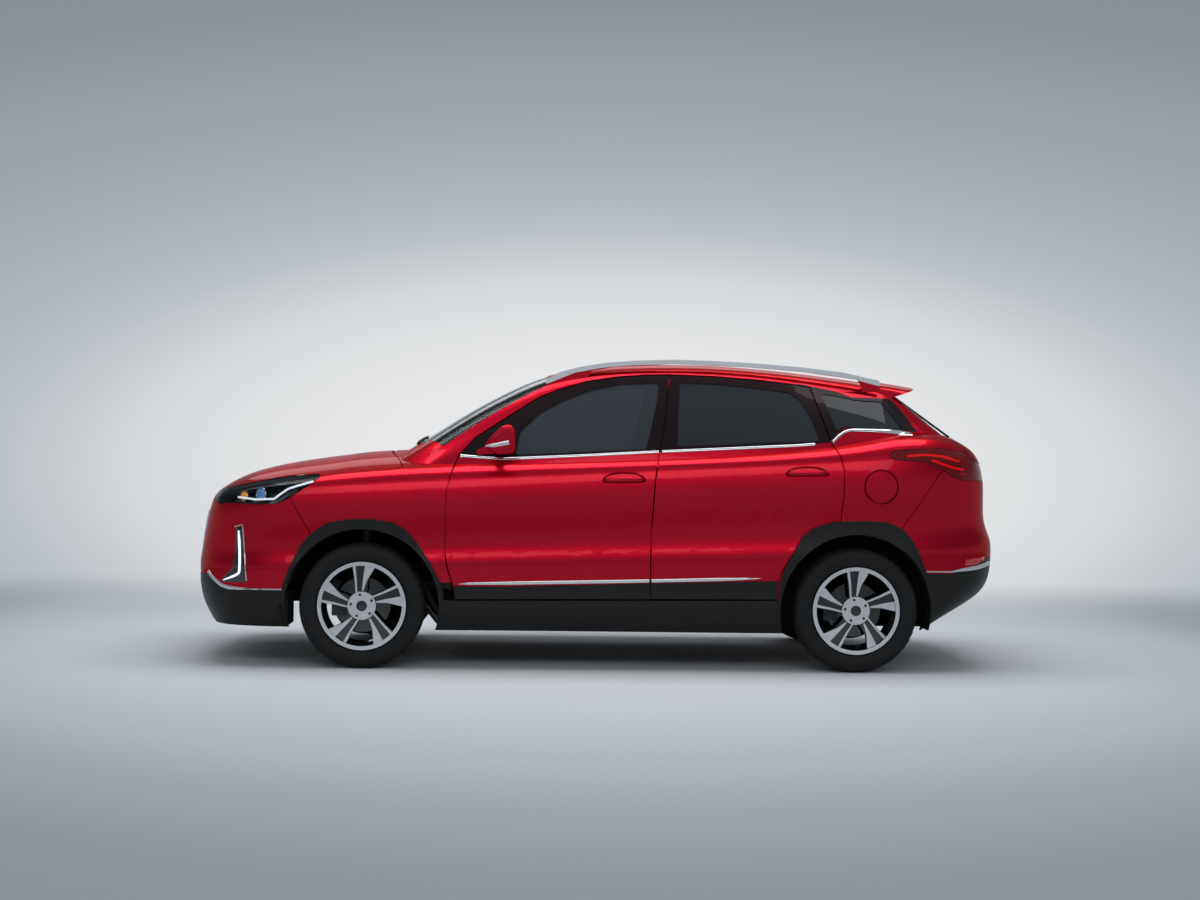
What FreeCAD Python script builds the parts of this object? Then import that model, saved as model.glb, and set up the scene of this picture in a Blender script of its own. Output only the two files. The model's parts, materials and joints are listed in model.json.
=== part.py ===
import FreeCAD, Part
import math
import os
from FreeCAD import Placement, Rotation, Vector

# A five-door compact crossover. X runs rearward, Y to the car's right and Z up, in millimetres.
# The origin is on the ground, under the middle of the car's length and width.

doc = FreeCAD.newDocument("crossover")

# Driving sizes

SIZES = {
    "overall_length": 4325,
    "overall_width": 1830,
    "body_height": 1640,
    "wheelbase": 2570,
    "front_overhang": 925,
    "track_width": 1560,
    "cladding_proud": 8,
    "cladding_wall": 4,
    "skin_wall": 12,
    "door_wall": 95,
    "frame_wall": 48,
    "door_lap": 22,
    "recess_depth": 20,
    "roof_wall": 22,
    "hood_wall": 24,
    "hatch_wall": 60,
    "hatch_rim": 45,
    "hatch_hinge_x": 1435,
    "hatch_hinge_z": 1552,
    "lamp_wall": 70,
    "grille_wall": 30,
    "slat_height": 11,
    "slat_pitch": 34,
    "glass_wall": 4.5,
    "glass_depth": 4,
    "door_gap": 7,
    "lid_gap": 6,
    "seam_gap": 4,
    "seat_gap": 0.3,
    "arch_radius": 398,
    "liner_wall": 4,
    "front_house_wall": 475,
    "rear_house_wall": 640,
    "hinge_setback": 60,
    "hinge_inset": 15,
    "swing_gap": 8,
    "tyre_diameter": 647,
    "tyre_width": 215,
    "bead_diameter": 432,
    "rim_width": 178,
    "rim_flange": 12,
    "rim_wall": 8,
    "hub_diameter": 146,
    "hub_pad": 36,
    "spoke_wall": 30,
    "web_inset": 9,
    "spoke_inset": 12,
    "disc_diameter": 286,
    "disc_wall": 22,
    "hub_bore": 67,
    "bolt_circle": 114.3,
    "bolt_hole": 14,
    "kingpin_top": 905,
    "kingpin_top_track": 1200,
    "kingpin_base": 205,
    "kingpin_base_track": 1452,
    "strut_diameter": 50,
    "arm_wall": 34,
    "floor_wall": 22,
    "floor_height": 222,
    "engine_length": 430,
    "engine_width": 620,
    "pad_length": 80,
    "pad_track": 1400,
    "front_pad_x": -600,
    "rear_pad_x": 680,
    "engine_height": 440,
    "engine_setback": 60,
    "engine_floor": 330,
    "rail_beam_width": 60,
    "rail_beam_height": 110,
    "apron_wall": 6,
    "radiator_wall": 45,
    "radiator_width": 640,
    "radiator_height": 420,
    "pipe_diameter": 46,
    "pipe_height": 172,
    "hanger_wall": 20,
    "muffler_diameter": 170,
    "muffler_length": 520,
    "rail_width": 34,
    "seat_width": 500,
    "seat_track": 740,
    "seat_round": 40,
    "cushion_length": 500,
    "cushion_height": 130,
    "backrest_height": 560,
    "backrest_wall": 130,
    "seat_lean": 20,
    "bench_width": 1240,
    "dash_round": 60,
    "mirror_width": 150,
    "mirror_round": 26,
    "mirror_arm": 44,
    "steering_wheel_diameter": 370,
    "steering_wheel_grip": 30,
    "fuel_flap_diameter": 168,
    "cut_overrun": 60,
}

sheet = doc.addObject("Spreadsheet::Sheet", "Sizes")
for row, (alias, value) in enumerate(SIZES.items(), start=1):
    sheet.set(f"A{row}", alias)
    sheet.set(f"B{row}", str(value))
    sheet.setAlias(f"B{row}", alias)
doc.recompute()


def size(alias):
    """A driving size, read back from the sheet."""
    return float(sheet.get(alias))


LENGTH = size("overall_length")
HALF_WIDTH = size("overall_width") / 2
HEIGHT = size("body_height")
WHEELBASE = size("wheelbase")
FRONT_OVERHANG = size("front_overhang")
REAR_OVERHANG = LENGTH - WHEELBASE - FRONT_OVERHANG
FRONT_AXLE = FRONT_OVERHANG - LENGTH / 2
REAR_AXLE = FRONT_AXLE + WHEELBASE
TYRE_RADIUS = size("tyre_diameter") / 2
AXLE_HEIGHT = TYRE_RADIUS
WHEEL_Y = size("track_width") / 2
SKIN_HALF = HALF_WIDTH - size("cladding_proud")
SEAT = size("seat_gap")
GAP = size("door_gap")
SEAM = size("seam_gap")
LID_GAP = size("lid_gap")
OVER = size("cut_overrun")
SIDE_REACH = HALF_WIDTH + OVER
MIDDLE = Vector(0, 0, 0)

# Places: s runs 0 to 1 over the front overhang, 1 to 2 between the axles and 2 to 3 behind


def along(s):
    """X of a station share s."""
    if s < 1:
        return FRONT_AXLE - (1 - s) * FRONT_OVERHANG
    if s < 2:
        return FRONT_AXLE + (s - 1) * WHEELBASE
    return REAR_AXLE + (s - 2) * REAR_OVERHANG


def up(share):
    """Z of a height share."""
    return share * HEIGHT


def out(share):
    """Distance from the middle plane of a width share."""
    return share * SKIN_HALF


# Smooth closed volumes from cages of control points


def clamped(count):
    """Multiplicities and knots of a clamped cubic with count poles."""
    return [4] + [1] * (count - 4) + [4], list(range(count - 2))


def cage_normals(rows):
    """Outward unit normals of a cage of rows that start and end on the middle plane."""
    normals = []
    for i, row in enumerate(rows):
        before, after = rows[max(i - 1, 0)], rows[min(i + 1, len(rows) - 1)]
        line = []
        for j in range(len(row)):
            ahead = row[min(j + 1, len(row) - 1)] - row[max(j - 1, 0)]
            normal = ahead.cross(after[j] - before[j])
            if j in (0, len(row) - 1):
                normal.y = 0
            on_ridge = max(abs(p.y) for p in row) < SEAT
            line.append(Vector(0, 0, 1) if on_ridge else normal.normalize())
        normals.append(line)
    return normals


def inset_rows(rows, inset):
    normals = cage_normals(rows)
    return [[p - n * inset for p, n in zip(row, line)] for row, line in zip(rows, normals)]


def half_solid(rows):
    """The left half of a smooth closed form.

    Each row of control points runs from the middle plane round the left side and back to it.
    The first row is flat. The last row is flat too, or lies along the middle plane.
    """
    u_mults, u_knots = clamped(len(rows))
    v_mults, v_knots = clamped(len(rows[0]))
    surface = Part.BSplineSurface()
    surface.buildFromPolesMultsKnots(rows, u_mults, v_mults, u_knots, v_knots, False, False, 3, 3)
    u0, u1, v0, v1 = surface.bounds()
    first, last = surface.uIso(u0).toShape(), surface.uIso(u1).toShape()
    ends = [surface.vIso(v0).toShape(), surface.vIso(v1).toShape()]
    faces = [Part.Face(surface)]
    middle = list(ends)
    for edge in (first, last):
        if edge.BoundBox.YLength < SEAT:
            middle.append(edge)
            continue
        chord = Part.makeLine(edge.Vertexes[0].Point, edge.Vertexes[-1].Point)
        middle.append(chord)
        faces.append(Part.Face(Part.Wire(Part.__sortEdges__([edge, chord]))))
    faces.append(Part.Face(Part.Wire(Part.__sortEdges__(middle))))
    shell = Part.Shell(faces)
    shell.sewShape()
    solid = Part.Solid(shell.Shells[0] if shell.Shells else shell)
    if solid.Volume < 0:
        solid.reverse()
    return solid


# Plan outline of the lower body, nose to tail: station and width
PLAN_SHARES = [
    (0.0, 0.0), (0.0, 0.34), (0.035, 0.64), (0.13, 0.85), (0.33, 0.955), (0.62, 0.985),
    (1.0, 1.0), (1.18, 0.992), (1.35, 0.988), (1.6, 0.99), (1.82, 0.997), (2.0, 1.0), (2.3, 0.985),
    (2.6, 0.95), (2.82, 0.86), (2.955, 0.66), (3.0, 0.36), (3.0, 0.0),
]
# Levels of the lower body: height at mid length, rise over the length, width, nose and tail setback
LEVEL_SHARES = [
    (0.125, 0.0, 0.90, 0.085, 0.45), (0.177, 0.0, 0.955, 0.03, 0.30), (0.232, 0.0, 0.975, 0.008, 0.08),
    (0.277, 0.026, 0.982, 0.0, 0.01), (0.323, 0.066, 0.993, 0.0, 0.0), (0.354, 0.092, 1.0, 0.002, 0.0),
    (0.381, 0.092, 0.985, 0.006, 0.008), (0.421, 0.118, 0.974, 0.014, 0.055),
    (0.482, 0.132, 0.978, 0.03, 0.055), (0.543, 0.132, 0.981, 0.05, 0.055),
    (0.598, 0.145, 0.972, 0.075, 0.075), (0.637, 0.153, 0.955, 0.11, 0.12),
    (0.677, 0.158, 0.920, 0.16, 0.17), (0.726, 0.132, 0.85, 0.24, 0.25), (0.90, 0.0, 0.68, 0.36, 0.35),
    (0.90, 0.0, 0.36, 0.55, 0.48), (0.90, 0.0, 0.0, 0.75, 0.60),
]
# Height of the hood and waist along the middle plane
DECK_SHARES = [
    (-0.3, 0.40), (0.0, 0.505), (0.09, 0.548), (0.22, 0.598), (0.4, 0.632), (0.6, 0.652),
    (0.83, 0.669), (1.03, 0.686), (1.2, 0.70), (1.5, 0.72), (1.8, 0.745), (2.0, 0.775), (2.2, 0.80),
    (2.45, 0.80), (2.65, 0.783), (2.8, 0.74), (2.92, 0.70), (3.3, 0.60),
]
# Fall of that surface towards its edges: width and drop
DECK_FALL_SHARES = [(0.0, 0.0), (0.5, 0.008), (0.8, 0.038), (1.0, 0.082)]
# Ribs of the cabin: top station and height, base station and height, roof and base width, roof drop
RIB_SHARES = [
    (1.018, 0.634, 1.046, 0.567, 0.765, 0.86, 0.030),
    (1.088, 0.702, 1.131, 0.585, 0.803, 0.890, 0.037),
    (1.186, 0.808, 1.264, 0.598, 0.765, 0.905, 0.040),
    (1.283, 0.891, 1.365, 0.604, 0.716, 0.910, 0.041),
    (1.361, 0.947, 1.435, 0.610, 0.678, 0.913, 0.040),
    (1.458, 0.979, 1.505, 0.616, 0.659, 0.915, 0.034),
    (1.579, 0.990, 1.598, 0.622, 0.652, 0.917, 0.030),
    (1.715, 0.990, 1.715, 0.631, 0.650, 0.917, 0.030),
    (1.851, 0.977, 1.840, 0.640, 0.645, 0.915, 0.030),
    (1.987, 0.953, 1.960, 0.652, 0.634, 0.907, 0.032),
    (2.250, 0.935, 2.130, 0.658, 0.630, 0.890, 0.034),
    (2.347, 0.902, 2.202, 0.664, 0.645, 0.885, 0.036),
    (2.515, 0.832, 2.286, 0.658, 0.667, 0.865, 0.038),
    (2.684, 0.765, 2.371, 0.646, 0.700, 0.835, 0.040),
    (2.792, 0.720, 2.443, 0.610, 0.710, 0.810, 0.040),
]
# The spoiler carries the roof on past the back glass
SPOILER_RIB_SHARES = RIB_SHARES[6:10] + [
    (2.120, 0.948, 2.05, 0.655, 0.630, 0.90, 0.032),
    (2.250, 0.942, 2.13, 0.658, 0.628, 0.89, 0.032),
    (2.380, 0.933, 2.25, 0.658, 0.620, 0.87, 0.032),
    (2.500, 0.923, 2.36, 0.658, 0.610, 0.85, 0.032),
    (2.600, 0.913, 2.45, 0.658, 0.600, 0.84, 0.032),
]
# Profile of a rib: share of the roof drop or of the side, and share of a width or of the spread
RIB_ROOF_SHARES = [(0.0, 0.42), (0.35, 0.78), (0.8, 0.955), (1.7, 1.005)]
RIB_SIDE_SHARES = [(0.35, 0.42), (0.70, 0.80), (1.0, 1.0)]
RIB_BASE_SHARES = [(2.0, 0.97), (2.0, 0.4), (2.0, 0.0)]


def share_at(table, place):
    """A value between the rows of a table of shares."""
    for (x0, y0), (x1, y1) in zip(table, table[1:]):
        if place <= x1:
            return y0 + (y1 - y0) * max(place - x0, 0) / (x1 - x0)
    return table[-1][1]


def deck_share(s, w):
    """Height share of the hood and waist surface at a station and width."""
    return share_at(DECK_SHARES, s) - share_at(DECK_FALL_SHARES, w)


def lower_rows():
    """Control points of the body below the waist: up its side, then in over the hood and waist."""
    rows = []
    for height, rise, width, nose, tail in LEVEL_SHARES:
        row = []
        for s, w in PLAN_SHARES:
            if s < 1:
                s = nose + (1 - nose) * s
            if s > 2:
                s = 3 - tail - (1 - tail) * (3 - s)
            share = min(height + rise * along(s) / LENGTH, deck_share(s, w * width))
            row.append(Vector(along(s), -out(w * width), up(share)))
        rows.append(row)
    return rows


def rib_row(top_s, top_h, base_s, base_h, roof_w, base_w, drop):
    """Left half of one rib, in the plane through its top and base lines."""
    top, base = Vector(along(top_s), 0, up(top_h)), Vector(along(base_s), 0, up(base_h))
    down = base - top
    reach = down.Length
    down.normalize()
    fall, roof_y, base_y = up(drop), out(roof_w), out(base_w)
    spread = base_y - roof_y
    profile = [(0, 0)] + [(n * fall, y * roof_y) for n, y in RIB_ROOF_SHARES]
    profile += [(fall + n * (reach - fall), roof_y + y * spread) for n, y in RIB_SIDE_SHARES]
    profile += [(reach + n * fall, y * base_y) for n, y in RIB_BASE_SHARES]
    return [top + down * n - Vector(0, y, 0) for n, y in profile]


def flattened(row):
    """The row moved onto the plane through its ends, square to the middle plane."""
    normal = (row[0] - row[-1]).cross(Vector(0, 1, 0))
    normal.normalize()
    return [p - normal * (p - row[-1]).dot(normal) for p in row]


VOLUMES = {}


def lower_half(inset):
    """The left half of the body below the waist, its surface moved in by inset."""
    if ("lower", inset) not in VOLUMES:
        rows = inset_rows(lower_rows(), inset)
        floor_z = up(LEVEL_SHARES[0][0]) - abs(inset)
        rows[0] = [Vector(p.x, p.y, floor_z) for p in rows[0]]
        VOLUMES["lower", inset] = half_solid(rows)
    return VOLUMES["lower", inset]


def cabin_half(inset, table=None):
    """The left half of the glasshouse and roof, its surface moved in by inset."""
    key = ("cabin", inset, bool(table))
    if key not in VOLUMES:
        rows = inset_rows([rib_row(*rib) for rib in table or RIB_SHARES], inset)
        rows[0], rows[-1] = flattened(rows[0]), flattened(rows[-1])
        VOLUMES[key] = half_solid(rows)
    return VOLUMES[key]


def body_half(lower_inset, cabin_inset):
    """The left half of the whole outer form, with one inset below the waist and one above."""
    key = ("body", lower_inset, cabin_inset)
    if key not in VOLUMES:
        VOLUMES[key] = lower_half(lower_inset).fuse(cabin_half(cabin_inset))
    return VOLUMES[key]


# Outlines with rounded corners, and the prisms that cut panels from the walls


def rounded_face(corners, rounding=0):
    """A flat face through corner points, each rounded as far as its two sides allow."""
    count = len(corners)
    starts, ends, arcs = [], [], []
    for i, corner in enumerate(corners):
        back, ahead = corners[i - 1] - corner, corners[(i + 1) % count] - corner
        half_angle = back.getAngle(ahead) / 2
        reach = min(rounding / math.tan(half_angle), 0.45 * back.Length, 0.45 * ahead.Length)
        back.normalize()
        ahead.normalize()
        if reach < SEAT or half_angle > math.radians(89):
            starts.append(corner)
            ends.append(corner)
            arcs.append(None)
            continue
        middle = back + ahead
        middle.normalize()
        radius = reach * math.tan(half_angle)
        starts.append(corner + back * reach)
        ends.append(corner + ahead * reach)
        arcs.append(corner + middle * (radius / math.sin(half_angle) - radius))
    edges = []
    for i in range(count):
        if arcs[i] is not None:
            edges.append(Part.Arc(starts[i], arcs[i], ends[i]).toShape())
        edges.append(Part.LineSegment(ends[i], starts[(i + 1) % count]).toShape())
    return Part.Face(Part.Wire(edges))


def prism(points, reach, grow=0, rounding=0):
    """A solid with a flat outline, which may be grown on every side, and a straight reach."""
    face = rounded_face(points, rounding)
    if grow:
        face = face.makeOffset2D(grow, 2)
    return face.extrude(reach)


def side_prism(table, grow=0, rounding=0, inner=0):
    """A side-view outline, cut out to the left of a distance from the middle plane."""
    points = [Vector(along(s), -inner if inner else OVER, up(h)) for s, h in table]
    return prism(points, Vector(0, -SIDE_REACH - OVER, 0), grow, rounding)


def plan_prism(table, low, grow=0, rounding=0):
    """The left half of a plan outline, cut upward from a height."""
    points = [Vector(along(s), -out(w), low) for s, w in table]
    points += [Vector(points[-1].x, OVER, low), Vector(points[0].x, OVER, low)]
    return prism(points, Vector(0, 0, HEIGHT + OVER - low), grow, rounding)


def end_prism(table, from_x, to_x, grow=0, rounding=0):
    """The left half of a front-view outline, from the top down, cut along the car."""
    points = [Vector(from_x, -out(w), up(h)) for w, h in table]
    points += [Vector(from_x, OVER, points[-1].z), Vector(from_x, OVER, points[0].z)]
    return prism(points, Vector(to_x - from_x, 0, 0), grow, rounding)


def slab(x0, x1, y0, y1, z0, z1):
    """A box between two corners."""
    return Part.makeBox(x1 - x0, y1 - y0, z1 - z0, Vector(x0, y0, z0))


def round_bar(diameter, start, end):
    """A round bar between two points."""
    reach = end - start
    return Part.makeCylinder(diameter / 2, reach.Length, start, reach)


def polar(radius, degrees, y):
    """A point in the plane square to Y, by radius and angle."""
    return Vector(radius * math.cos(math.radians(degrees)), y, radius * math.sin(math.radians(degrees)))


def mirrored(shape):
    return shape.mirror(MIDDLE, Vector(0, 1, 0))


def pair(shape):
    """A left piece and its mirror image, side by side."""
    return Part.makeCompound(list(shape.Solids) + list(mirrored(shape).Solids))


def joined(shape):
    """A left half and its mirror image, in one across the middle plane."""
    return shape.fuse(mirrored(shape))


SLIVER = size("skin_wall") ** 3


def solids_of(shape):
    """The solids of a result, without slivers."""
    big = [solid for solid in shape.Solids if solid.Volume > SLIVER]
    return big[0] if len(big) == 1 else Part.makeCompound(big)


def panel(region, outer, inner, cuts=()):
    """The part of a region between two forms, less some cutters."""
    for cutter in cuts:
        region = region.cut(cutter)
    piece = region.common(outer)
    for form in inner:
        piece = piece.cut(form)
    return solids_of(piece)


NODES = {}


def node(name, shape):
    """One sub-part of the document, with its own label."""
    item = doc.addObject("Part::Feature", name)
    item.Label = name
    item.Shape = solids_of(shape)
    item.Placement = Placement()
    NODES[name] = item
    return item


# Side-view outlines: station and height
FRONT_DOOR_SHARES = [
    (1.188, 0.222), (1.181, 0.279), (1.172, 0.320), (1.167, 0.369), (1.167, 0.474), (1.168, 0.558),
    (1.177, 0.620), (1.191, 0.674), (1.223, 0.731), (1.296, 0.807), (1.350, 0.862), (1.394, 0.891),
    (1.453, 0.919), (1.512, 0.934), (1.571, 0.942), (1.621, 0.944), (1.606, 0.769), (1.597, 0.700),
    (1.587, 0.607), (1.582, 0.499), (1.579, 0.439), (1.579, 0.271), (1.580, 0.229),
]
REAR_DOOR_SHARES = [
    (1.580, 0.229), (1.579, 0.271), (1.579, 0.439), (1.582, 0.499), (1.587, 0.607), (1.597, 0.700),
    (1.606, 0.769), (1.621, 0.944), (1.708, 0.941), (1.806, 0.931), (1.880, 0.919), (1.915, 0.910),
    (1.950, 0.731), (1.964, 0.686), (1.970, 0.644), (1.970, 0.567), (1.964, 0.487), (1.945, 0.480),
    (1.914, 0.465), (1.890, 0.444), (1.866, 0.378), (1.841, 0.311), (1.837, 0.257), (1.837, 0.232),
]
FRONT_RECESS_SHARES = [
    (1.479, 0.603), (1.486, 0.616), (1.500, 0.626), (1.522, 0.630),
    (1.547, 0.628), (1.562, 0.619), (1.571, 0.605),
    (1.564, 0.590), (1.546, 0.581), (1.520, 0.578), (1.500, 0.582), (1.486, 0.590),
]
REAR_RECESS_SHARES = [
    (1.850, 0.629), (1.857, 0.642), (1.872, 0.651), (1.896, 0.655),
    (1.918, 0.653), (1.934, 0.645), (1.943, 0.631),
    (1.935, 0.616), (1.917, 0.608), (1.892, 0.604), (1.872, 0.608), (1.858, 0.616),
]
FRONT_WINDOW_SHARES = [
    (1.304, 0.678), (1.314, 0.754), (1.352, 0.812), (1.395, 0.851), (1.455, 0.890), (1.520, 0.912),
    (1.600, 0.919), (1.594, 0.853), (1.571, 0.702),
]
REAR_WINDOW_SHARES = [
    (1.643, 0.921), (1.638, 0.822), (1.634, 0.713), (1.685, 0.717), (1.928, 0.736), (1.915, 0.800),
    (1.895, 0.865), (1.872, 0.893), (1.806, 0.906), (1.720, 0.918),
]
QUARTER_GLASS_SHARES = [
    (1.938, 0.892), (1.965, 0.768), (1.981, 0.783), (2.227, 0.778), (2.330, 0.774), (2.200, 0.868),
    (2.031, 0.872), (1.994, 0.880),
]
HEADLAMP_SHARES = [
    (0.120, 0.530), (0.185, 0.556), (0.425, 0.585), (0.583, 0.600), (0.735, 0.607), (0.756, 0.603),
    (0.679, 0.570), (0.577, 0.532), (0.523, 0.518), (0.412, 0.514), (0.273, 0.517), (0.180, 0.512),
]
TAIL_LAMP_SHARES = [
    (2.191, 0.688), (2.238, 0.707), (2.381, 0.713), (2.544, 0.716), (2.716, 0.706), (2.744, 0.685),
    (2.900, 0.660), (2.900, 0.615), (2.678, 0.619), (2.620, 0.629), (2.554, 0.649), (2.430, 0.675),
    (2.238, 0.681),
]
FENDER_SHARES = [(0.595, 0.534), (0.708, 0.429), (0.72, 0.30), (1.25, 0.24), (1.25, 0.72), (0.70, 0.72)]
FRONT_BUMPER_SHARES = [
    (-0.1, 0.05), (-0.1, 0.70), (0.60, 0.70), (0.595, 0.534), (0.708, 0.429), (0.72, 0.30), (0.72, 0.05),
]
FRONT_CHIN_SHARES = [(-0.1, 0.05), (-0.1, 0.285), (0.14, 0.285), (0.24, 0.247), (0.72, 0.245), (0.72, 0.05)]
REAR_BUMPER_SHARES = [
    (2.25, 0.05), (2.25, 0.40), (2.301, 0.470), (2.533, 0.639), (2.62, 0.66), (3.1, 0.66), (3.1, 0.05),
]
REAR_CHIN_SHARES = [
    (2.25, 0.05), (2.25, 0.318), (2.618, 0.318), (2.828, 0.351), (2.92, 0.368), (3.1, 0.372), (3.1, 0.05),
]
SPOILER_SHARES = [(2.17, 0.97), (2.17, 0.90), (2.255, 0.878), (2.42, 0.905), (2.46, 0.915), (2.46, 0.97)]
DOOR_CLADDING_TOP_SHARES = [(1.10, 0.262), (1.283, 0.263), (1.579, 0.278), (1.839, 0.290), (1.95, 0.296)]
SILL_SHARES = [(1.13, 0.12), (1.13, 0.222), (1.188, 0.217), (1.837, 0.227), (1.90, 0.229), (1.90, 0.12)]
# Plan outlines of the left half: station and width
HOOD_SHARES = [
    (0.02, 0.0), (0.035, 0.20), (0.085, 0.42), (0.20, 0.60), (0.36, 0.76), (0.54, 0.86), (0.72, 0.893),
    (1.05, 0.895), (1.075, 0.86), (1.058, 0.60), (1.04, 0.30), (1.035, 0.0),
]
WINDSHIELD_SHARES = [
    (1.080, 0.0), (1.092, 0.35), (1.118, 0.62), (1.152, 0.785), (1.250, 0.725), (1.378, 0.640),
    (1.372, 0.35), (1.368, 0.0),
]
ROOF_SHARES = [
    (1.376, 0.0), (1.380, 0.35), (1.390, 0.618), (1.60, 0.605), (1.95, 0.60), (2.118, 0.60),
    (2.118, 0.0),
]
BACKLIGHT_SHARES = [(2.30, 0.0), (2.31, 0.56), (2.45, 0.60), (2.68, 0.62), (2.715, 0.40), (2.722, 0.0)]
# Front-view and rear-view outlines of the left half, from the top down: width and height
GRILLE_SHARES = [(0.0, 0.482), (0.30, 0.484), (0.44, 0.478), (0.40, 0.40), (0.34, 0.365), (0.0, 0.360)]
INTAKE_SHARES = [(0.0, 0.318), (0.58, 0.320), (0.66, 0.300), (0.56, 0.215), (0.0, 0.210)]
HATCH_SHARES = [
    (0.0, 1.05), (0.588, 1.05), (0.600, 0.90), (0.665, 0.80), (0.70, 0.735), (0.665, 0.71), (0.625, 0.66),
    (0.60, 0.60), (0.59, 0.50), (0.555, 0.455), (0.0, 0.45),
]

MIRROR_SHARES = [
    (1.242, 0.707), (1.258, 0.741), (1.279, 0.770), (1.295, 0.775),
    (1.306, 0.753), (1.306, 0.692), (1.298, 0.683),
    (1.271, 0.679), (1.252, 0.692),
]
MIRROR_FOOT_SHARES = [(1.205, 0.676), (1.262, 0.720), (1.288, 0.720), (1.286, 0.684)]
RAIL_SLOT_SHARES = [
    (1.44, 0.90), (1.46, 0.955), (1.51, 0.970), (1.63, 0.982),
    (1.789, 0.975), (1.90, 0.963), (2.06, 0.940), (2.10, 0.90),
]
RAIL_SHARES = [
    (1.366, 0.925), (1.395, 0.950), (1.433, 0.967), (1.492, 0.983),
    (1.552, 0.991), (1.630, 0.996), (1.710, 0.994),
    (1.789, 0.989), (1.895, 0.978), (1.985, 0.963), (2.120, 0.945),
    (2.195, 0.938), (2.20, 0.90), (1.366, 0.88),
]
# Tyre side: radial share of its depth and share of its half width
TYRE_SHARES = [(0.39, 1.0), (0.69, 0.977), (0.93, 0.82), (1.0, 0.465)]
# Outer edge of the black band round each wheel opening: share of the arch radius and angle in degrees
FRONT_BAND_SHARES = [
    (1.10, -14.0), (1.075, 0.0), (1.068, 17.0), (1.055, 33.0),
    (1.092, 49.5), (1.145, 61.0), (1.157, 71.0), (1.135, 84.0),
    (1.14, 100.0), (1.168, 113.5), (1.145, 125.0), (1.12, 135.0),
    (1.062, 150.0), (1.062, 167.0), (1.05, 194.0),
]
REAR_BAND_SHARES = [
    (1.045, 14.0), (1.062, 29.0), (1.095, 39.0), (1.18, 50.5), (1.238, 61.0), (1.233, 71.0), (1.188, 84.0),
    (1.20, 103.0), (1.226, 117.0), (1.202, 128.0), (1.138, 140.0),
    (1.096, 155.0), (1.05, 170.0), (1.05, 194.0),
]
TYRE_SIDES = 60
RIM_STEP_SHARE = 0.55
# Wheel spokes: share of the bead radius and angle in degrees. A broad blade and a thin rib stand on each web
WEB_SHARES = [(0.99, 71.0), (0.99, 104.0), (0.62, 107.0), (0.28, 122.0), (0.28, 66.0), (0.62, 77.0)]
BLADE_SHARES = [(0.99, 71.5), (0.99, 86.0), (0.62, 88.0), (0.36, 90.0), (0.36, 84.0), (0.62, 79.0)]
THIN_SPOKE_SHARES = [(0.99, 99.5), (0.99, 103.5), (0.62, 106.0), (0.28, 120.0), (0.28, 112.0), (0.62, 101.5)]
LUG_SHARE = 28.0 / 72
# Floor from the bulkhead to the tail, above its own height, and how far each point's upper side leans back
FLOOR_SHARES = [
    (1.095, 0.44), (1.095, 0.16), (1.155, 0.0), (1.77, 0.0), (1.80, 0.10), (1.98, 0.12), (2.02, 0.215),
    (2.86, 0.215),
]
FLOOR_LEAN_SHARES = [
    (1.095, 1.0), (1.095, 1.0), (1.155, 0.5), (1.77, -0.5), (1.80, -0.5), (1.98, -0.5), (2.02, -0.5),
    (2.86, 0.0),
]
DASH_SHARES = [
    (1.135, 0.44), (1.1038, 0.47), (1.1038, 0.60), (1.15, 0.655), (1.24, 0.655), (1.30, 0.60),
    (1.29, 0.50), (1.22, 0.40),
]
BODY_FRONT_SHARES = [(-0.2, -0.05), (1.10, -0.05), (1.10, 0.58), (1.045, 0.64), (1.045, 1.1), (-0.2, 1.1)]

# Walls and cutters that several panels share

SKIN = size("skin_wall")
FRAME = size("frame_wall")
DOOR = size("door_wall")
LAP = size("door_lap")
ARCH = size("arch_radius")
PROUD = size("cladding_proud")
GLASS_IN = size("glass_depth")
GLASS_OUT = GLASS_IN + size("glass_wall")
OUTER = body_half(0, 0)
WALL = [lower_half(DOOR), cabin_half(FRAME)]


def arch_cutter(radius, start=0):
    """The left wheel arches, open outward from their inner walls."""
    walls = [(FRONT_AXLE, size("front_house_wall") + start), (REAR_AXLE, size("rear_house_wall") + start)]
    return Part.makeCompound([
        round_bar(2 * radius, Vector(x, -wall, AXLE_HEIGHT), Vector(x, -SIDE_REACH, AXLE_HEIGHT))
        for x, wall in walls
    ])


ARCH_CUT = arch_cutter(ARCH)
HINGE_Y = SKIN_HALF - size("hinge_inset")
FRONT_HINGE_X = along(1.167) + size("hinge_setback")
REAR_HINGE_X = along(1.579) + GAP + size("hinge_setback")


def swing_cutter(x):
    """Room for the front edge of a left door, which turns inward about its hinge."""
    radius = size("hinge_setback") + size("swing_gap")
    return Part.makeCylinder(radius, up(0.52), Vector(x, -HINGE_Y, up(0.19)))


# Doors, with their glass and cladding

WINDOW_ROUND = up(0.012)
DOOR_CLADDING = side_prism(DOOR_CLADDING_TOP_SHARES + [(1.95, 0.1), (1.10, 0.1)], 0, 0, out(0.5))
SHADOW = lower_half(size("cladding_wall") + SEAT)


def door_parts(outline, inner, window, handle):
    """A left door with its window cut, its window glass and its cladding."""
    flange = outline.cut(inner).common(body_half(SKIN, SKIN))
    door = panel(outline, OUTER, WALL, [side_prism(window, 0, WINDOW_ROUND), recess(handle)])
    door = door.cut(flange).cut(outline.common(DOOR_CLADDING).cut(SHADOW))
    pane = panel(side_prism(window, -SEAT, WINDOW_ROUND), cabin_half(GLASS_IN), [cabin_half(GLASS_OUT)])
    cladding_region = outline.common(DOOR_CLADDING)
    cladding = panel(cladding_region, lower_half(-PROUD), [lower_half(size("cladding_wall"))])
    return solids_of(door), pane, cladding


RECESS = lower_half(size("recess_depth"))


def recess(table):
    """The oval hollow behind a left door handle."""
    return side_prism(table, 0, up(0.022), out(0.5)).cut(RECESS)


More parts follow.
